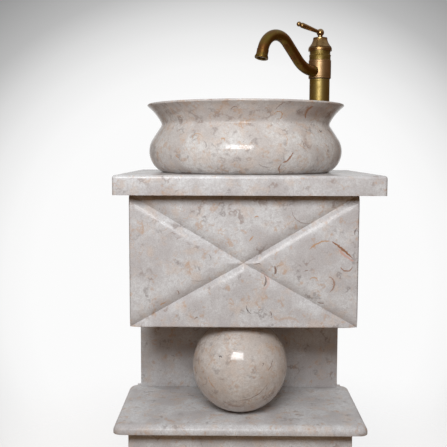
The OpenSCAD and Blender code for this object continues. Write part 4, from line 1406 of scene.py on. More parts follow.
@dataclass
class Nut:
    """A six-sided nut with turned faces.

    Attributes:
        flats: Distance across its flats.
        bore: Radius of its bore.
        height: Its height.
        recess: Radius of a wider bore below its lip, or 0.
        lip: Thickness of the lip above that bore.
        face: Share of the distance across the flats that its turned faces take.
        chamfer: Slope of its corners, in degrees.
        ease: Chamfer of the bore's edges.
    """

    flats: float
    bore: float
    height: float
    recess: float = 0.0
    lip: float = 0.0
    face: float = 0.985
    chamfer: float = 30.0
    ease: float = 0.5 * MM

    def outline(self, angle: float) -> list[Point]:
        """The nut's outline at an angle.

        Args:
            angle: Angle round the nut, in radians.

        Returns:
            Radius and height of each point.
        """
        side = self.flats / 2 / math.cos(angle % (math.pi / 3) - math.pi / 6)
        turned = self.flats / 2 * self.face
        drop = (side - turned) * math.tan(math.radians(self.chamfer))
        inner = self.recess or self.bore
        spots = [(inner + self.ease, 0.0), (turned, 0.0), (side, drop), (side, self.height - drop),
                 (turned, self.height), (self.bore + self.ease, self.height),
                 (self.bore, self.height - self.ease)]
        if self.recess:
            spots += [(self.bore, self.height - self.lip), (self.recess, self.height - self.lip)]
        return spots + [(inner, self.ease)]

    def mesh(self, place: Matrix) -> Mesh:
        """The nut's mesh, stood at a place."""
        return radial(self.outline, 120, place)


@dataclass
class ThreadedTube:
    """A tube with a helical thread outside.

    Attributes:
        radius: Radius of the thread's crests.
        bore: Radius of the bore.
        bottom: Height of its lower end.
        top: Height of its upper end.
        pitch: Height of one turn.
        depth: Depth of the thread.
        rows: Rows of mesh in one turn.
        flank: Steepness of the thread's flanks.
        root: Width of its flat root, in the flanks' measure.
    """

    radius: float
    bore: float
    bottom: float
    top: float
    pitch: float
    depth: float
    rows: int = 8
    flank: float = 3.2
    root: float = 0.3

    def outline(self, angle: float) -> list[Point]:
        """The tube's outline at an angle.

        Args:
            angle: Angle round the tube, in radians.

        Returns:
            Radius and height of each point.
        """
        tall = self.top - self.bottom
        count = int(round(tall / self.pitch * self.rows))
        spots: list[Point] = []
        for i in range(count + 1):
            up = tall * i / count
            phase = (up / self.pitch - angle / math.tau) % 1.0
            wave = max(0.0, min(1.0, abs(phase - 0.5) * self.flank - self.root))
            fade = min(1.0, up / self.pitch, (tall - up) / self.pitch)
            sunk = self.depth * (1.0 - wave) * fade + self.depth * (1.0 - fade)
            spots.append((self.radius - sunk, self.bottom + up))
        return spots + [(self.bore, self.top), (self.bore, self.bottom)]

    def mesh(self, place: Matrix) -> Mesh:
        """The tube's mesh, stood at a place."""
        return radial(self.outline, 72, place)


@dataclass
class Waste(Assembly):
    """The waste in the bowl's drain, with its plug.

    Attributes:
        edge_t: Thickness of the plug's edge.
        edge_r: Rounding of that edge.
        dome_h: Height of the plug's dome.
        boss_r: Radius of the boss under the plug.
        boss_h: Height of that boss.
        bore_r: Bore of the waste.
        tube_r: Outer radius of the waste's tube.
        flange_t: Thickness of its flange.
        pitch: Pitch of its thread.
        thread: Depth of its thread.
        guide_drop: How far below the flange's top the spindle's guide lies.
        guide_r: Outer radius of the guide's hub.
        guide_bore: Radius of its bore.
        guide_h: Its height.
        spoke_t: Thickness of its spokes.
        spoke_edge: Chamfer of their edges.
        spoke_ends: How far from the axis they start and end.
    """

    edge_t: float = 2 * MM
    edge_r: float = 1.1 * MM
    dome_h: float = 3 * MM
    boss_r: float = 16.5 * MM
    boss_h: float = 9 * MM
    bore_r: float = 18.5 * MM
    tube_r: float = 22 * MM
    flange_t: float = 2.5 * MM
    pitch: float = 2.3 * MM
    thread: float = 0.7 * MM
    guide_drop: float = 26 * MM
    guide_r: float = 7.5 * MM
    guide_bore: float = 4.06 * MM
    guide_h: float = 10 * MM
    spoke_t: float = 2.5 * MM
    spoke_edge: float = 0.35 * MM
    spoke_ends: Point = (6.8 * MM, 19.2 * MM)

    def plug_outline(self, radius: float) -> list[Point]:
        """The plug's outline.

        Args:
            radius: Radius of the plug's cap.

        Returns:
            Radius and height above the cap's underside of each point.
        """
        dome_r = (radius ** 2 + self.dome_h ** 2) / (2 * self.dome_h)
        start = math.degrees(math.acos(radius / dome_r))
        top = self.edge_t + self.dome_h
        return ([(0.0, -self.boss_h), (self.boss_r - 0.8 * MM, -self.boss_h),
                 (self.boss_r, -self.boss_h + 0.8 * MM), (self.boss_r, -0.4 * MM),
                 (self.boss_r + 0.4 * MM, 0.0), (radius - self.edge_r - 0.3 * MM, 0.0)]
                + arc((radius - self.edge_r, self.edge_r), self.edge_r, -90, 30, 8)
                + arc((0.0, top - dome_r), dome_r, start, 90.0, 40)[1:])

    def body_mesh(self, place: Matrix, room: Room) -> Mesh:
        """The flanged, threaded tube.

        Args:
            place: The waste's axis, at the ground.
            room: The box that it fills.

        Returns:
            Vertices and faces.
        """
        top = room.high.z
        seat = top - self.flange_t
        ring = rounded([(self.tube_r - 1 * MM, seat, 0.0), (room.radius, seat, 0.3 * MM),
                        (room.radius, top, 1.2 * MM),
                        (self.bore_r + self.flange_t, top, 0.8 * MM),
                        (self.bore_r, seat, 0.0)], 6)
        tube = ThreadedTube(self.tube_r, self.bore_r, room.low.z, seat, self.pitch, self.thread)
        return joined(revolve(ring, 128, place), tube.mesh(place))

    def guide_mesh(self, place: Matrix, top: float) -> Mesh:
        """The three-spoked guide that the plug's spindle slides in.

        Args:
            place: The waste's axis, at the ground.
            top: Height of the guide's top.

        Returns:
            Vertices and faces.
        """
        foot = top - self.guide_h
        parts = [revolve(rounded([(self.guide_bore, foot, 0.3 * MM),
                                  (self.guide_r, foot, 0.5 * MM), (self.guide_r, top, 0.5 * MM),
                                  (self.guide_bore, top, 0.3 * MM)], 3), 64, place)]
        half, edge = self.spoke_t / 2, self.spoke_edge
        low, high = foot + 1 * MM, top - 1 * MM
        section = [(-half + edge, low), (half - edge, low), (half, low + edge),
                   (half, high - edge), (half - edge, high), (-half + edge, high),
                   (-half, high - edge), (-half, low + edge)]
        count = len(section)
        faces: list[tuple[int, ...]] = [(i, (i + 1) % count, count + (i + 1) % count, count + i)
                                        for i in range(count)]
        faces += [tuple(range(count - 1, -1, -1)), tuple(range(count, 2 * count))]
        for turn in (0, 120, 240):
            spin = place @ Matrix.Rotation(math.radians(turn), 4, "Z")
            parts.append(([spin @ Vector((x, y, z)) for x in self.spoke_ends
                           for y, z in section], faces))
        return joined(*parts)

    def build(self) -> None:
        """Makes and dresses the waste, its plug and its seals."""
        shop, wear = self.shop, self.wear
        body = Room(*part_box("waste_body"))
        place = body.stand(0.0)
        shop.make("waste_tube", joined(self.body_mesh(place, body),
                                       self.guide_mesh(place, body.high.z - self.guide_drop)),
                  wear.column, "waste_body")
        plug = Room(*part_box("waste_plug"))
        shop.make("plug_cap", revolve(self.plug_outline(plug.radius), 128,
                                      body.stand(plug.low.z + self.boss_h)),
                  wear.column, "waste_plug", body=Body.PLUG)
        room = Room(*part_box("waste_nut"))
        nut = Nut(room.depth, self.tube_r + 0.05 * MM, room.height)
        shop.make("backnut", nut.mesh(body.stand(room.low.z)), wear.plain, "waste_nut")
        shop.dress(wear.steel, 0.3 * MM, "plug_spindle")
        shop.dress(wear.rubber, 0.2 * MM, "waste_flange_seal", "waste_under_seal", "plug_seal")


@dataclass
class BottleTrap(Assembly):
    """The trap that hangs from the waste.

    Attributes:
        tube_r: Outer radius of its tubes.
        boss_r: Radius of the bosses that its nuts screw onto.
        seal_lift: How far a boss's ring stands out of it.
        grip: How far a nut reaches down its boss.
        lip: Thickness of a nut's lip.
        gap: Play between a thread and its nut.
        slide: Play between a tube and its nut.
        coupling_r: Inner radius of the coupling nut.
        coupling_lip: Thickness of its lip.
        cup_wall: Wall of the cup.
        cup_edge: Rounding of the cup's bottom edge.
        cup_curve: Rounding inside the cup's bottom.
        cup_collar: Height of the collar that enters the head.
        cup_band: How far below the cup's rim its groove lies.
    """

    tube_r: float = 16 * MM
    boss_r: float = 20 * MM
    seal_lift: float = 1 * MM
    grip: float = 13 * MM
    lip: float = 4 * MM
    gap: float = 0.05 * MM
    slide: float = 0.2 * MM
    coupling_r: float = 22.05 * MM
    coupling_lip: float = 5 * MM
    cup_wall: float = 4 * MM
    cup_edge: float = 8 * MM
    cup_curve: float = 4 * MM
    cup_collar: float = 8 * MM
    cup_band: float = 12 * MM

    def cup_mesh(self, room: Room) -> Mesh:
        """The cup, with a groove to grip it by.

        Args:
            room: The box that it fills.

        Returns:
            Vertices and faces.
        """
        outer, foot, top = room.radius, room.low.z, room.high.z
        rim = top - self.cup_collar
        neck = outer - self.cup_wall - self.gap
        bore = neck - self.cup_wall + self.gap
        curve = foot + self.cup_wall + self.cup_curve
        outline = ([(0.0, foot)]
                   + arc((outer - self.cup_edge, foot + self.cup_edge), self.cup_edge, -90, 0, 12)
                   + groove(outer, rim - self.cup_band, 0.8 * MM, 1 * MM, 0.4 * MM)
                   + [(outer, rim - 0.6 * MM), (outer - 0.6 * MM, rim), (neck, rim),
                      (neck, top - 0.5 * MM), (neck - 0.5 * MM, top), (bore, top), (bore, curve)]
                   + arc((bore - self.cup_curve, curve), self.cup_curve, 0, -90, 6)[1:]
                   + [(0.0, foot + self.cup_wall)])
        return revolve(outline, 128, room.stand(0.0))

    def gland_nut(self, bore: float) -> Nut:
        """The nut of a gland, round a tube's hole of the given radius."""
        return Nut(2 * self.boss_r + 6 * MM, bore, self.grip + self.seal_lift + self.lip,
                   self.boss_r + self.gap, self.lip)

    def build(self) -> None:
        """Makes and dresses the trap."""
        shop, wear = self.shop, self.wear
        shop.dress(wear.column, 0.6 * MM, "trap_head", "trap_dip_tube", "trap_outlet_pipe")
        cup = Room(*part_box("trap_cup"))
        shop.make("cup", self.cup_mesh(cup), wear.column, "trap_cup")
        room = Room(*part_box("coupling_nut"))
        nut = Nut(room.depth, self.tube_r + self.slide, room.height, self.coupling_r,
                  self.coupling_lip)
        flip = cup.stand(room.high.z) @ Matrix.Rotation(math.pi, 4, "X")
        shop.make("coupling", nut.mesh(flip), wear.plain, "coupling_nut")
        inlet = Room(*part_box("trap_inlet_nut"))
        nut = self.gland_nut(self.tube_r + self.slide)
        shop.make("inlet_nut", nut.mesh(cup.stand(inlet.low.z)), wear.plain, "trap_inlet_nut")
        outlet = Room(*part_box("trap_outlet_nut"))
        turn = (Matrix.Translation((cup.middle.x, outlet.low.y, outlet.middle.z))
                @ Matrix.Rotation(math.radians(-90), 4, "X"))
        nut = self.gland_nut(self.tube_r - self.gap)
        shop.make("outlet_nut", nut.mesh(turn), wear.plain, "trap_outlet_nut")
        shop.dress(wear.rubber, 0.0, "coupling_seal", "trap_inlet_seal", "trap_cup_seal",
                   "trap_outlet_seal")


@dataclass
class Tap(Assembly):
    """The tap's standing pieces, its spout and its lever.

    Attributes:
        aim: Angle from +X to the spout's direction, in radians.
        root_z: Height of the middle of the spout's root.
        body_bore: Bore of the pieces round the valve's body.
        column_wall: Wall of the column's tube.
        column_foot: Thickness of the column's foot.
        shank_hole: Radius of the holes that the shank passes.
        shank_bore: Radius of the shank's bore.
        shank_pitch: Pitch of its thread.
        shank_thread: Depth of its thread.
        fixing_flats: Distance across the flats of the fixing nut.
        ring_bore: Bore of the ring at the column's foot.
        spout_r: Outer radius of the spout's tube.
        root_sunk: How far the spout reaches into the sleeve's face.
        root_swell: How much thicker the spout is at its root.
        root_length: How far that swelling reaches.
        rise_bend_r: Radius of the rising bend.
        rise_angle: Angle of the rising stretch, in degrees.
        rise_length: Length of that stretch.
        top_bend_r: Radius of the bend over the top.
        drop_angle: Angle below level at the outlet, in degrees.
        spigot_length: How far the tube reaches into the outlet.
        outlet_length: Length of the outlet's straight end.
        collar_r: Radius of the outlet's collar.
        lip_r: Radius of the outlet's lip.
        lever_slope: Slope of the lever at rest, in degrees.
        lever_lift: How far the lever tilts up, in degrees.
        lever_length: Length of the lever from the ball's middle.
        pivot_drop: Depth of the lever's pivot below the bonnet's top.
        bonnet_top_r: Radius of the cone's top.
        hub_r: Radius of the ball under the lever.
        hub_collar_r: Radius of the collar under the ball.
        root_r: Radius of the lever beside the ball.
        swell_r: Radius of the lever at its thickest.
        bead_r: Radius of the bead at its tip.
    """

    aim: float
    root_z: float
    body_bore: float = 20.05 * MM
    column_wall: float = 3.5 * MM
    column_foot: float = 10 * MM
    shank_hole: float = 16.05 * MM
    shank_bore: float = 12.5 * MM
    shank_pitch: float = 1.6 * MM
    shank_thread: float = 0.55 * MM
    fixing_flats: float = 41 * MM
    ring_bore: float = 24.1 * MM
    spout_r: float = 12.5 * MM
    root_sunk: float = 4.2 * MM
    root_swell: float = 1.6 * MM
    root_length: float = 7 * MM
    rise_bend_r: float = 79 * MM
    rise_angle: float = 43.0
    rise_length: float = 52 * MM
    top_bend_r: float = 48 * MM
    drop_angle: float = 75.0
    spigot_length: float = 0.5 * MM
    outlet_length: float = 21 * MM
    collar_r: float = 13.2 * MM
    lip_r: float = 15 * MM
    lever_slope: float = 8.0
    lever_lift: float = 18.0
    lever_length: float = 84 * MM
    pivot_drop: float = 9 * MM
    bonnet_top_r: float = 16 * MM
    hub_r: float = 9 * MM
    hub_collar_r: float = 6 * MM
    root_r: float = 4.2 * MM
    swell_r: float = 6.2 * MM
    bead_r: float = 5.78 * MM

    def at(self, height: float) -> Matrix:
        """The tap's own frame at a height, with +X towards the bowl."""
        column = Room(*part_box("tap_column"))
        return column.stand(height) @ Matrix.Rotation(self.aim, 4, "Z")

    def column_mesh(self, room: Room) -> Mesh:
        """The column's tube, with a fine turned groove near its top.

        Args:
            room: The box that it fills.

        Returns:
            Vertices and faces.
        """
        r, h, foot = room.radius, room.height, self.column_foot
        bore, hole = r - self.column_wall, self.shank_hole
        outline = ([(hole, 0.0), (r - 0.3 * MM, 0.0), (r, 0.3 * MM)]
                   + groove(r, h - 4.7 * MM, 0.35 * MM, 0.5 * MM)
                   + arc((r - 0.8 * MM, h - 0.8 * MM), 0.8 * MM, 0, 90, 5)
                   + [(bore, h), (bore, foot), (hole, foot)])
        return revolve(outline, 128, self.at(room.low.z))

    def base_mesh(self, room: Room) -> Mesh:
        """The moulded ring at the column's foot.

        Args:
            room: The box that it fills.

        Returns:
            Vertices and faces.
        """
        r, bore = room.radius, self.ring_bore
        outline = ([(bore, 0.0), (r - 0.4 * MM, 0.0)]
                   + arc((r - 0.9 * MM, 1.5 * MM), 0.9 * MM, -60, 60, 8)
                   + [(r - 1.3 * MM, 3.0 * MM)]
                   + arc((r, 8 * MM), 5 * MM, -105, -180, 12)
                   + [(bore + 0.4 * MM, 9 * MM), (bore, 8.6 * MM)])
        return revolve(outline, 128, self.at(room.low.z))

    def sleeve_mesh(self, room: Room) -> Mesh:
        """The turning sleeve, with a fine groove near each end.

        Args:
            room: The box that it fills.

        Returns:
            Vertices and faces.
        """
        r, h, bore, edge = room.radius, room.height, self.body_bore + 0.01 * MM, 0.7 * MM
        outline = ([(bore, 0.0), (r - edge, 0.0), (r, edge)]
                   + groove(r, 4.2 * MM, 0.45 * MM, 0.6 * MM)
                   + groove(r, h - 4.4 * MM, 0.45 * MM, 0.6 * MM)
                   + [(r, h - edge), (r - edge, h), (bore, h)])
        return revolve(outline, 160, self.at(room.low.z))

    def ring_mesh(self, room: Room) -> Mesh:
        """The ring that holds the sleeve down, with a bead and fine turned grooves.

        Args:
            room: The box that it fills.

        Returns:
            Vertices and faces.
        """
        r, h, bore = room.radius, room.height, self.body_bore
        lower, upper = r - 0.8 * MM, r - 1.6 * MM
        cut = (0.8 * MM, 0.6 * MM)
        outline = ([(bore, 0.0), (lower - 0.5 * MM, 0.0), (lower, 0.5 * MM)]
                   + groove(lower, 3.0 * MM, *cut) + groove(lower, 6.0 * MM, *cut)
                   + [(lower, 8.8 * MM)]
                   + arc((r - 1.4 * MM, 10.6 * MM), 1.4 * MM, -75, 75, 12)
                   + [(upper, 12.6 * MM)]
                   + groove(upper, 15.0 * MM, *cut) + groove(upper, 17.8 * MM, *cut)
                   + [(upper, h - 0.4 * MM), (upper - 0.4 * MM, h), (bore, h)])
        return revolve(outline, 160, self.at(room.low.z))

    def bonnet_mesh(self, room: Room, hub: Room) -> Mesh:
        """The hollowed cone under the lever, with a flange at its foot and a bead at its top.

        Args:
            room: The box that it fills.
            hub: The box of the ball and its collar, which tilts in the cone's hole.

        Returns:
            Vertices and faces.
        """
        r, h, top_r = room.radius, room.height, self.bonnet_top_r
        lift = math.radians(self.lever_lift)
        collar = hub.low.z - (room.high.z - self.pivot_drop)
        hole = self.hub_collar_r * math.cos(lift) + collar * math.sin(lift) + 0.6 * MM
        foot = Vector((r - 0.8 * MM, 9.2 * MM))
        waist = Vector((top_r + 0.9 * MM, h - 2.6 * MM))
        cone = [(foot.x + (waist.x - foot.x) * (1 - (1 - t) ** 1.7),
                 foot.y + (waist.y - foot.y) * t) for t in (k / 16 for k in range(17))]
        outline = ([(self.body_bore, 0.0), (r - 1.0 * MM, 0.0)]
                   + arc((r - 1.0 * MM, 1.0 * MM), 1.0 * MM, -80, 0, 6)
                   + groove(r, 3.5 * MM, 0.5 * MM, 0.5 * MM)
                   + arc((r - 1.6 * MM, 6.4 * MM), 1.6 * MM, 0, 70, 8)
                   + [(r - 1.6 * MM, 8.4 * MM)] + cone
                   + arc((top_r - 0.3 * MM, h - 1.2 * MM), 1.2 * MM, -20, 90, 8)
                   + [(hole + 0.4 * MM, h), (hole, h - 0.4 * MM), (hole, h - 4 * MM),
                      (top_r - 2.6 * MM, h - 4 * MM), (self.body_bore, 9 * MM)])
        return revolve(outline, 160, self.at(room.low.z))

    def spout_path(self, root: float) -> list[Point]:
        """The path of the spout's middle, from the sleeve to the outlet.

        Args:
            root: Distance from the tap's axis to the sleeve's face.

        Returns:
            Distance from the axis and height above the root of each point.
        """
        path: list[Point] = [(root - self.root_sunk, 0.0), (root - 1 * MM, 0.0)]
        path += arc((root, self.rise_bend_r), self.rise_bend_r, -90, self.rise_angle - 90, 40)
        end = Vector(path[-1])
        path += [tuple(end + heading(self.rise_angle) * (self.rise_length * k / 8))
                 for k in range(1, 9)]
        top = Vector(path[-1]) + self.top_bend_r * heading(self.rise_angle - 90)
        path += arc(top, self.top_bend_r, 90 + self.rise_angle, 90 - self.drop_angle, 56)[1:]
        return path + [tuple(Vector(path[-1]) + heading(-self.drop_angle) * self.spigot_length)]

    def spout_radii(self, path: Sequence[Point], root: float) -> list[float]:
        """The spout's radii, which swell towards its root.

        Args:
            path: The spout's path.
            root: Distance from the tap's axis to the sleeve's face.

        Returns:
            The tube's radius at each point of the path.
        """
        reaches = [min(1.0, max(0.0, x - root) / self.root_length) for x, _ in path]
        return [self.spout_r + self.root_swell * (1 - reach) ** 2 for reach in reaches]

    def outlet_mesh(self, place: Matrix) -> Mesh:
        """The outlet's collar and its rounded lip, open for the aerator.

        Args:
            place: Where the outlet starts, with +Z out along it.

        Returns:
            Vertices and faces.
        """
        c, lip, n = self.collar_r, self.lip_r, self.outlet_length
        neck = n - 5 * MM
        spigot = self.spout_r - 0.7 * MM
        bore = spigot + 0.05 * MM
        outline = ([(bore, 0.0), (c - 0.4 * MM, 0.0), (c, 0.4 * MM)]
                   + groove(c, 2.7 * MM, 0.3 * MM, 0.5 * MM)
                   + arc((c + 1.6 * MM, neck - 3.2 * MM), 1.6 * MM, 180, 110, 8)
                   + arc((lip - 1.6 * MM, neck + 1.2 * MM), 1.8 * MM, 60, 0, 8)
                   + [(lip + 0.3 * MM, n - 1.3 * MM)]
                   + arc((lip - 0.9 * MM, n - 1.2 * MM), 1.2 * MM, 0, 90, 6)
                   + [(spigot - 1.2 * MM, n), (spigot - 2 * MM, n - 0.8 * MM),
                      (spigot - 2 * MM, 16 * MM), (bore, 16 * MM)])
        return revolve(outline, 128, place)

    def lever_mesh(self, place: Matrix) -> Mesh:
        """The lever, which swells towards its tip and ends in a bead.

        Args:
            place: The ball's middle, with +Z along the lever.

        Returns:
            Vertices and faces.
        """
        bead = self.lever_length - self.bead_r
        swell = bead - 12 * MM
        spot = math.sqrt(self.hub_r ** 2 - (self.root_r + 0.4 * MM) ** 2)
        outline: list[Point] = [(0.0, 4.8 * MM), (2.5 * MM, 4.8 * MM), (2.5 * MM, spot)]
        for t in (k / 28 for k in range(29)):
            ease = t * t * (3 - 2 * t)
            outline.append((self.root_r + (self.swell_r - self.root_r) * (0.35 * t + 0.65 * ease),
                            spot + (swell - spot) * t))
        outline += arc((0.0, swell), self.swell_r, 4, 62, 12)
        outline += [(2.4 * MM, swell + 5.6 * MM), (2.3 * MM, swell + 6.2 * MM)]
        start = math.degrees(math.asin(2.4 * MM / self.bead_r))
        outline += arc((0.0, bead), self.bead_r, start - 90, 90, 20)[:-1]
        return revolve(outline + [(0.0, bead + self.bead_r)], 96, place)

    def hub_mesh(self, place: Matrix, floor: float) -> Mesh:
        """The ball under the lever, with its collar.

        Args:
            place: The ball's middle.
            floor: Height of the collar's foot, measured up from the ball's middle.

        Returns:
            Vertices and faces.
        """
        c = self.hub_collar_r
        meet = math.degrees(math.acos((c - 0.2 * MM) / self.hub_r))
        outline = ([(0.0, floor), (c - 0.4 * MM, floor), (c, floor + 0.4 * MM),
                    (c, floor + 1.4 * MM), (c - 0.8 * MM, floor + 2.0 * MM),
                    (c - 0.8 * MM, floor + 2.6 * MM)]
                   + arc((0.0, 0.0), self.hub_r, -meet - 3, 90, 40)[:-1] + [(0.0, self.hub_r)])
        return revolve(outline, 128, place)

    def build(self) -> None:
        """Makes and dresses the tap."""
        self.stack()
        self.spout()
        self.lever()
        self.fixing()

    def stack(self) -> None:
        """Makes the pieces round the tap's axis, from the slab up."""
        shop, wear = self.shop, self.wear
        shop.make("foot_ring", self.base_mesh(Room(*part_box("tap_base_ring"))), wear.column,
                  "tap_base_ring")
        shop.make("column", self.column_mesh(Room(*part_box("tap_column"))), wear.column,
                  "tap_column")
        shop.make("sleeve", self.sleeve_mesh(Room(*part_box("spout_sleeve"))), wear.sleeve,
                  "spout_sleeve", body=Body.SPOUT)
        shop.make("retaining_ring", self.ring_mesh(Room(*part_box("spout_retaining_ring"))),
                  wear.column, "spout_retaining_ring")
        bonnet, hub = Room(*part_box("tap_bonnet")), Room(*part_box("lever_hub"))
        shop.make("bonnet", self.bonnet_mesh(bonnet, hub), wear.lever, "tap_bonnet")

    def spout(self) -> None:
        """Makes the spout and its outlet."""
        shop, wear = self.shop, self.wear
        face = Room(*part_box("spout_sleeve")).radius
        root = self.at(self.root_z)
        path = self.spout_path(face)
        shop.make("s_spout", sweep(path, self.spout_radii(path, face), 96, root),
                  wear.spout, "spout_tube", body=Body.SPOUT)
        outlet = (root @ Matrix.Translation((path[-2][0], 0.0, path[-2][1]))
                  @ Matrix.Rotation(math.radians(90 + self.drop_angle), 4, "Y"))
        shop.make("outlet", self.outlet_mesh(outlet), wear.spout, "aerator_housing",
                  body=Body.SPOUT)

    def lever(self) -> None:
        """Makes the lever and the ball under it."""
        shop, wear = self.shop, self.wear
        room = Room(*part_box("lever_hub"))
        middle = room.high.z - self.hub_r
        ball = self.at(middle)
        shop.make("lever_ball", self.hub_mesh(ball, room.low.z - middle), wear.lever,
                  "lever_hub", body=Body.LEVER)
        lean = ball @ Matrix.Rotation(math.radians(90 - self.lever_slope), 4, "Y")
        shop.make("lever", self.lever_mesh(lean), wear.lever, "lever_arm", body=Body.LEVER)

    def fixing(self) -> None:
        """Makes and dresses what holds the tap below the slab, and its inner pieces."""
        shop, wear = self.shop, self.wear
        room = Room(*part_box("tap_shank"))
        shank = ThreadedTube(room.radius, self.shank_bore, room.low.z, room.high.z,
                             self.shank_pitch, self.shank_thread)
        shop.make("shank", shank.mesh(self.at(0.0)), wear.plain, "tap_shank")
        room = Room(*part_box("fixing_nut"))
        nut = Nut(self.fixing_flats, self.shank_hole, room.height)
        shop.make("fixing_backnut", nut.mesh(self.at(room.low.z)), wear.plain, "fixing_nut")
        shop.dress(wear.steel, 0.2 * MM, "fixing_washer", "lever_stem", "rotor_pin",
                   "cartridge_rotor", "lever_grub_screw")
        shop.dress(wear.plain, 0.2 * MM, "valve_body", "cartridge_clamp_nut")
        shop.dress(wear.rubber, 0.2 * MM, "tap_foot_gasket", "fixing_gasket", "spout_seals")
        shop.dress(wear.plastic, 0.1 * MM, "aerator_insert", "cartridge_body")
        # the glide ring is drawn dark to match the dark seam line, not in its white plastic
        shop.dress(wear.glide, 0.1 * MM, "spout_glide_ring")
        shop.dress(wear.copper, 0.3 * MM, "supply_tails")


# The studio


@dataclass(frozen=True)
class Softbox:
    """A soft rectangular light.

    Attributes:
        name: The light's name.
        place: Its middle.
        aim: What it faces.
        width: Its width.
        height: Its height.
        power: Its power in watts.
        colour: Its colour.
        mirrored: Whether polished surfaces mirror it.
    """

    name: str
    place: Spot
    aim: Spot
    width: float
    height: float
    power: float
    colour: Colour = (1.0, 1.0, 1.0)
    mirrored: bool = True

    def hang(self) -> None:
        """Hangs the light."""
        data = bpy.data.lights.new(self.name, "AREA")
        data.shape = "RECTANGLE"
        data.size = self.width
        data.size_y = self.height
        data.energy = self.power
        data.color = self.colour
        lamp = bpy.data.objects.new(self.name, data)
        lamp.location = self.place
        lamp.rotation_euler = (Vector(self.aim) - Vector(self.place)).to_track_quat(
            "-Z", "Y").to_euler()
        lamp.visible_camera = False
        lamp.visible_glossy = self.mirrored
        bpy.context.scene.collection.objects.link(lamp)


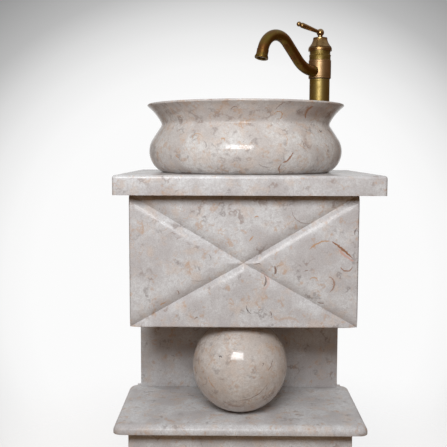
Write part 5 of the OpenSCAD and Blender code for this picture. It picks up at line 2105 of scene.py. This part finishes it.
@dataclass
class Studio:
    """The camera, the lights, the floor and what surrounds them.

    Attributes:
        eye: Place of the camera.
        yaw: Turn of its view to the right, in radians.
        pitch: Tilt of its view downwards, in radians.
        roll: Roll of its view, in radians.
        lens: Focal length for a 36 mm sensor, in millimetres.
        lights: The lights.
        brightest: Direction of the backdrop's brightest spot below level, in radians.
        lowest: Slope below that spot under which the backdrop darkens no more.
        shades: The backdrop's shades, from 0 to 255, by the tangent of the angle from that spot.
        overhead: Light from straight above.
        behind: Light from level with the object, behind it.
        beside: Light from level with the object, elsewhere.
        below: Light from straight below.
        warmth: Tint of the light from beside and below.
        floor_r: Radius of the floor.
        floor_solid: Shares of that radius at which the floor starts to fade and is gone.
        floor_colour: Colour of the floor.
        floor_gloss: Roughness of the floor.
        floor_light: Colour of the light that the floor seems to take from lamps out of view.
        floor_glow: How much of that light there is.
    """

    eye: Spot = (-0.03395, -1.6257, 0.8015)
    yaw: float = -0.0086
    pitch: float = 0.0961
    roll: float = 0.0027
    lens: float = 59.602
    lights: tuple[Softbox, ...] = (
        Softbox("front", (-0.18, -1.35, 1.23), (0.0, 0.0, 0.7), 0.72, 0.42, 16.6,
                (0.96, 0.98, 1.0)),
        Softbox("left", (-1.8, 1.2, 1.0), (0.0, 0.0, 0.5), 1.0, 1.0, 9.0, mirrored=False),
        Softbox("right", (1.8, 1.2, 1.0), (0.0, 0.0, 0.5), 1.0, 1.0, 7.0, mirrored=False))
    brightest: float = 0.185
    lowest: float = -0.25
    shades: tuple[tuple[float, int], ...] = (
        (0.0, 252), (0.27, 251), (0.31, 247), (0.354, 235), (0.39, 217), (0.43, 186),
        (0.50, 150))
    overhead: float = 0.46
    behind: float = 0.8
    beside: float = 0.12
    below: float = 0.12
    warmth: Colour = (1.0, 0.52, 0.22)
    floor_r: float = 1.2
    floor_solid: Point = (0.3, 0.98)
    floor_colour: Colour = (0.34, 0.25, 0.16)
    floor_gloss: float = 0.6
    floor_light: Colour = (0.86, 0.93, 1.0)
    floor_glow: float = 0.76

    def camera(self) -> None:
        """Makes the camera at the photograph's point of view."""
        forward = Vector((math.sin(self.yaw) * math.cos(self.pitch),
                          math.cos(self.yaw) * math.cos(self.pitch), -math.sin(self.pitch)))
        right = Vector((math.cos(self.yaw), -math.sin(self.yaw), 0.0))
        up = right.cross(forward)
        across = right * math.cos(self.roll) + up * math.sin(self.roll)
        over = up * math.cos(self.roll) - right * math.sin(self.roll)
        data = bpy.data.cameras.new("camera")
        data.sensor_width = 36.0
        data.lens = self.lens
        camera = bpy.data.objects.new("camera", data)
        bpy.context.scene.collection.objects.link(camera)
        matrix = Matrix((across, over, -forward)).transposed().to_4x4()
        matrix.translation = Vector(self.eye)
        camera.matrix_world = matrix
        bpy.context.scene.camera = camera

    def backdrop(self, graph: Graph, parts: Sequence[Socket]) -> Socket:
        """The backdrop that the camera sees, bright low behind the object and darker at its rim.

        Args:
            graph: The world's tree.
            parts: The direction's X, Y and Z.

        Returns:
            Its colour.
        """
        eighth = math.radians(22.5)
        turn = graph.math("ARCTAN2", parts[0], parts[1])
        aside = graph.math("TANGENT", graph.math("WRAP", turn, -eighth, eighth))
        rise = graph.plus(graph.math("ARCSINE", parts[2]), self.brightest)
        slope = graph.math("MAXIMUM", graph.math("TANGENT", rise), self.lowest)
        ramp = graph.node("ShaderNodeValToRGB")
        widest = self.shades[-1][0]
        graph.put(ramp.inputs[0], graph.math("DIVIDE", graph.hypot(aside, slope), widest))
        stops = ramp.color_ramp.elements
        for k, (spot, shade) in enumerate(self.shades):
            stop = stops[k] if k < 2 else stops.new(spot / widest)
            stop.position = spot / widest
            stop.color = (*[light(shade)] * 3, 1.0)
        return ramp.outputs[0]

    def surround(self) -> None:
        """Makes the world: a backdrop for the camera, and soft light for the object."""
        world = bpy.data.worlds.new("world")
        world.use_nodes = True
        graph = Graph(world.node_tree)
        parts = graph.split("XYZ", graph.node("ShaderNodeTexCoord").outputs["Generated"])
        _, y, z = parts
        around = graph.span(y, 0.82, 1.0, self.beside, self.behind)
        upper = graph.span(z, 0.05, 0.75)
        lower = graph.span(z, -0.6, -0.05, 1.0, 0.0)
        shade = graph.plus(around, graph.times(upper, graph.minus(self.overhead, around)))
        shade = graph.plus(shade, graph.times(lower, graph.minus(self.below, shade)))
        white = graph.math("MAXIMUM", graph.span(y, 0.45, 1.0), upper)
        plain = world.node_tree.nodes["Background"]
        graph.put(plain.inputs["Color"], graph.mix(white, self.warmth, (1.0, 1.0, 1.0)))
        graph.put(plain.inputs["Strength"], shade)
        shown = graph.node("ShaderNodeBackground")
        graph.put(shown.inputs["Color"], self.backdrop(graph, parts))
        both = graph.node("ShaderNodeMixShader")
        seen = graph.node("ShaderNodeLightPath").outputs["Is Camera Ray"]
        for socket, value in zip(both.inputs, (seen, plain.outputs[0], shown.outputs[0])):
            graph.put(socket, value)
        graph.put(world.node_tree.nodes["World Output"].inputs["Surface"], both.outputs[0])
        bpy.context.scene.world = world

    def floor(self) -> None:
        """Lays a plain pale floor that fades into the backdrop."""
        segments = 96
        points = [(0.0, 0.0, 0.0)] + [(self.floor_r * c, self.floor_r * s, 0.0)
                                      for c, s in circle(segments)]
        data = bpy.data.meshes.new("floor")
        data.from_pydata(points, [], [(0, k + 1, (k + 1) % segments + 1)
                                      for k in range(segments)])
        material = bpy.data.materials.new("floor")
        material.use_nodes = True
        tree = material.node_tree
        coat = Coat(tree, tree.nodes["Principled BSDF"],
                    tree.nodes.new("ShaderNodeTexCoord").outputs["Object"])
        coat.feed("Base Color", self.floor_colour)
        coat.feed("Roughness", self.floor_gloss)
        coat.feed("Emission Color", self.floor_light)
        seen = coat.node("ShaderNodeLightPath").outputs["Is Camera Ray"]
        coat.feed("Emission Strength", coat.times(seen, self.floor_glow))
        solid, gone = (self.floor_r * share for share in self.floor_solid)
        coat.feed("Alpha", coat.span(coat.vector("LENGTH", coat.where), solid, gone, 1.0, 0.0))
        data.materials.append(material)
        piece = bpy.data.objects.new("floor", data)
        bpy.context.scene.collection.objects.link(piece)

    def build(self) -> None:
        """Sets up the studio."""
        bpy.context.scene.view_settings.view_transform = "Standard"
        self.camera()
        for lamp in self.lights:
            lamp.hang()
        self.surround()
        self.floor()


def main(frame: dict) -> None:
    """Builds the scene.
    """
    logging.basicConfig(level=logging.INFO, format="%(name)s: %(message)s")
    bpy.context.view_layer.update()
    shop, wear = Workshop(frame["nodes"]), Palette()
    joints = {joint["name"]: joint for joint in frame["joints"]}
    lift = joints["lever_lift"]["axis"]
    aim, root = math.atan2(lift[0], -lift[1]), joints["spout_swivel"]["pos_m"][2]
    for assembly in (StoneBase(shop, wear), Bowl(shop, wear), Waste(shop, wear),
                     BottleTrap(shop, wear), Tap(shop, wear, aim, root)):
        assembly.build()
    Studio().build()
    LOG.info("made %d pieces", shop.made)


if __name__ == "__main__":
    main(frame)
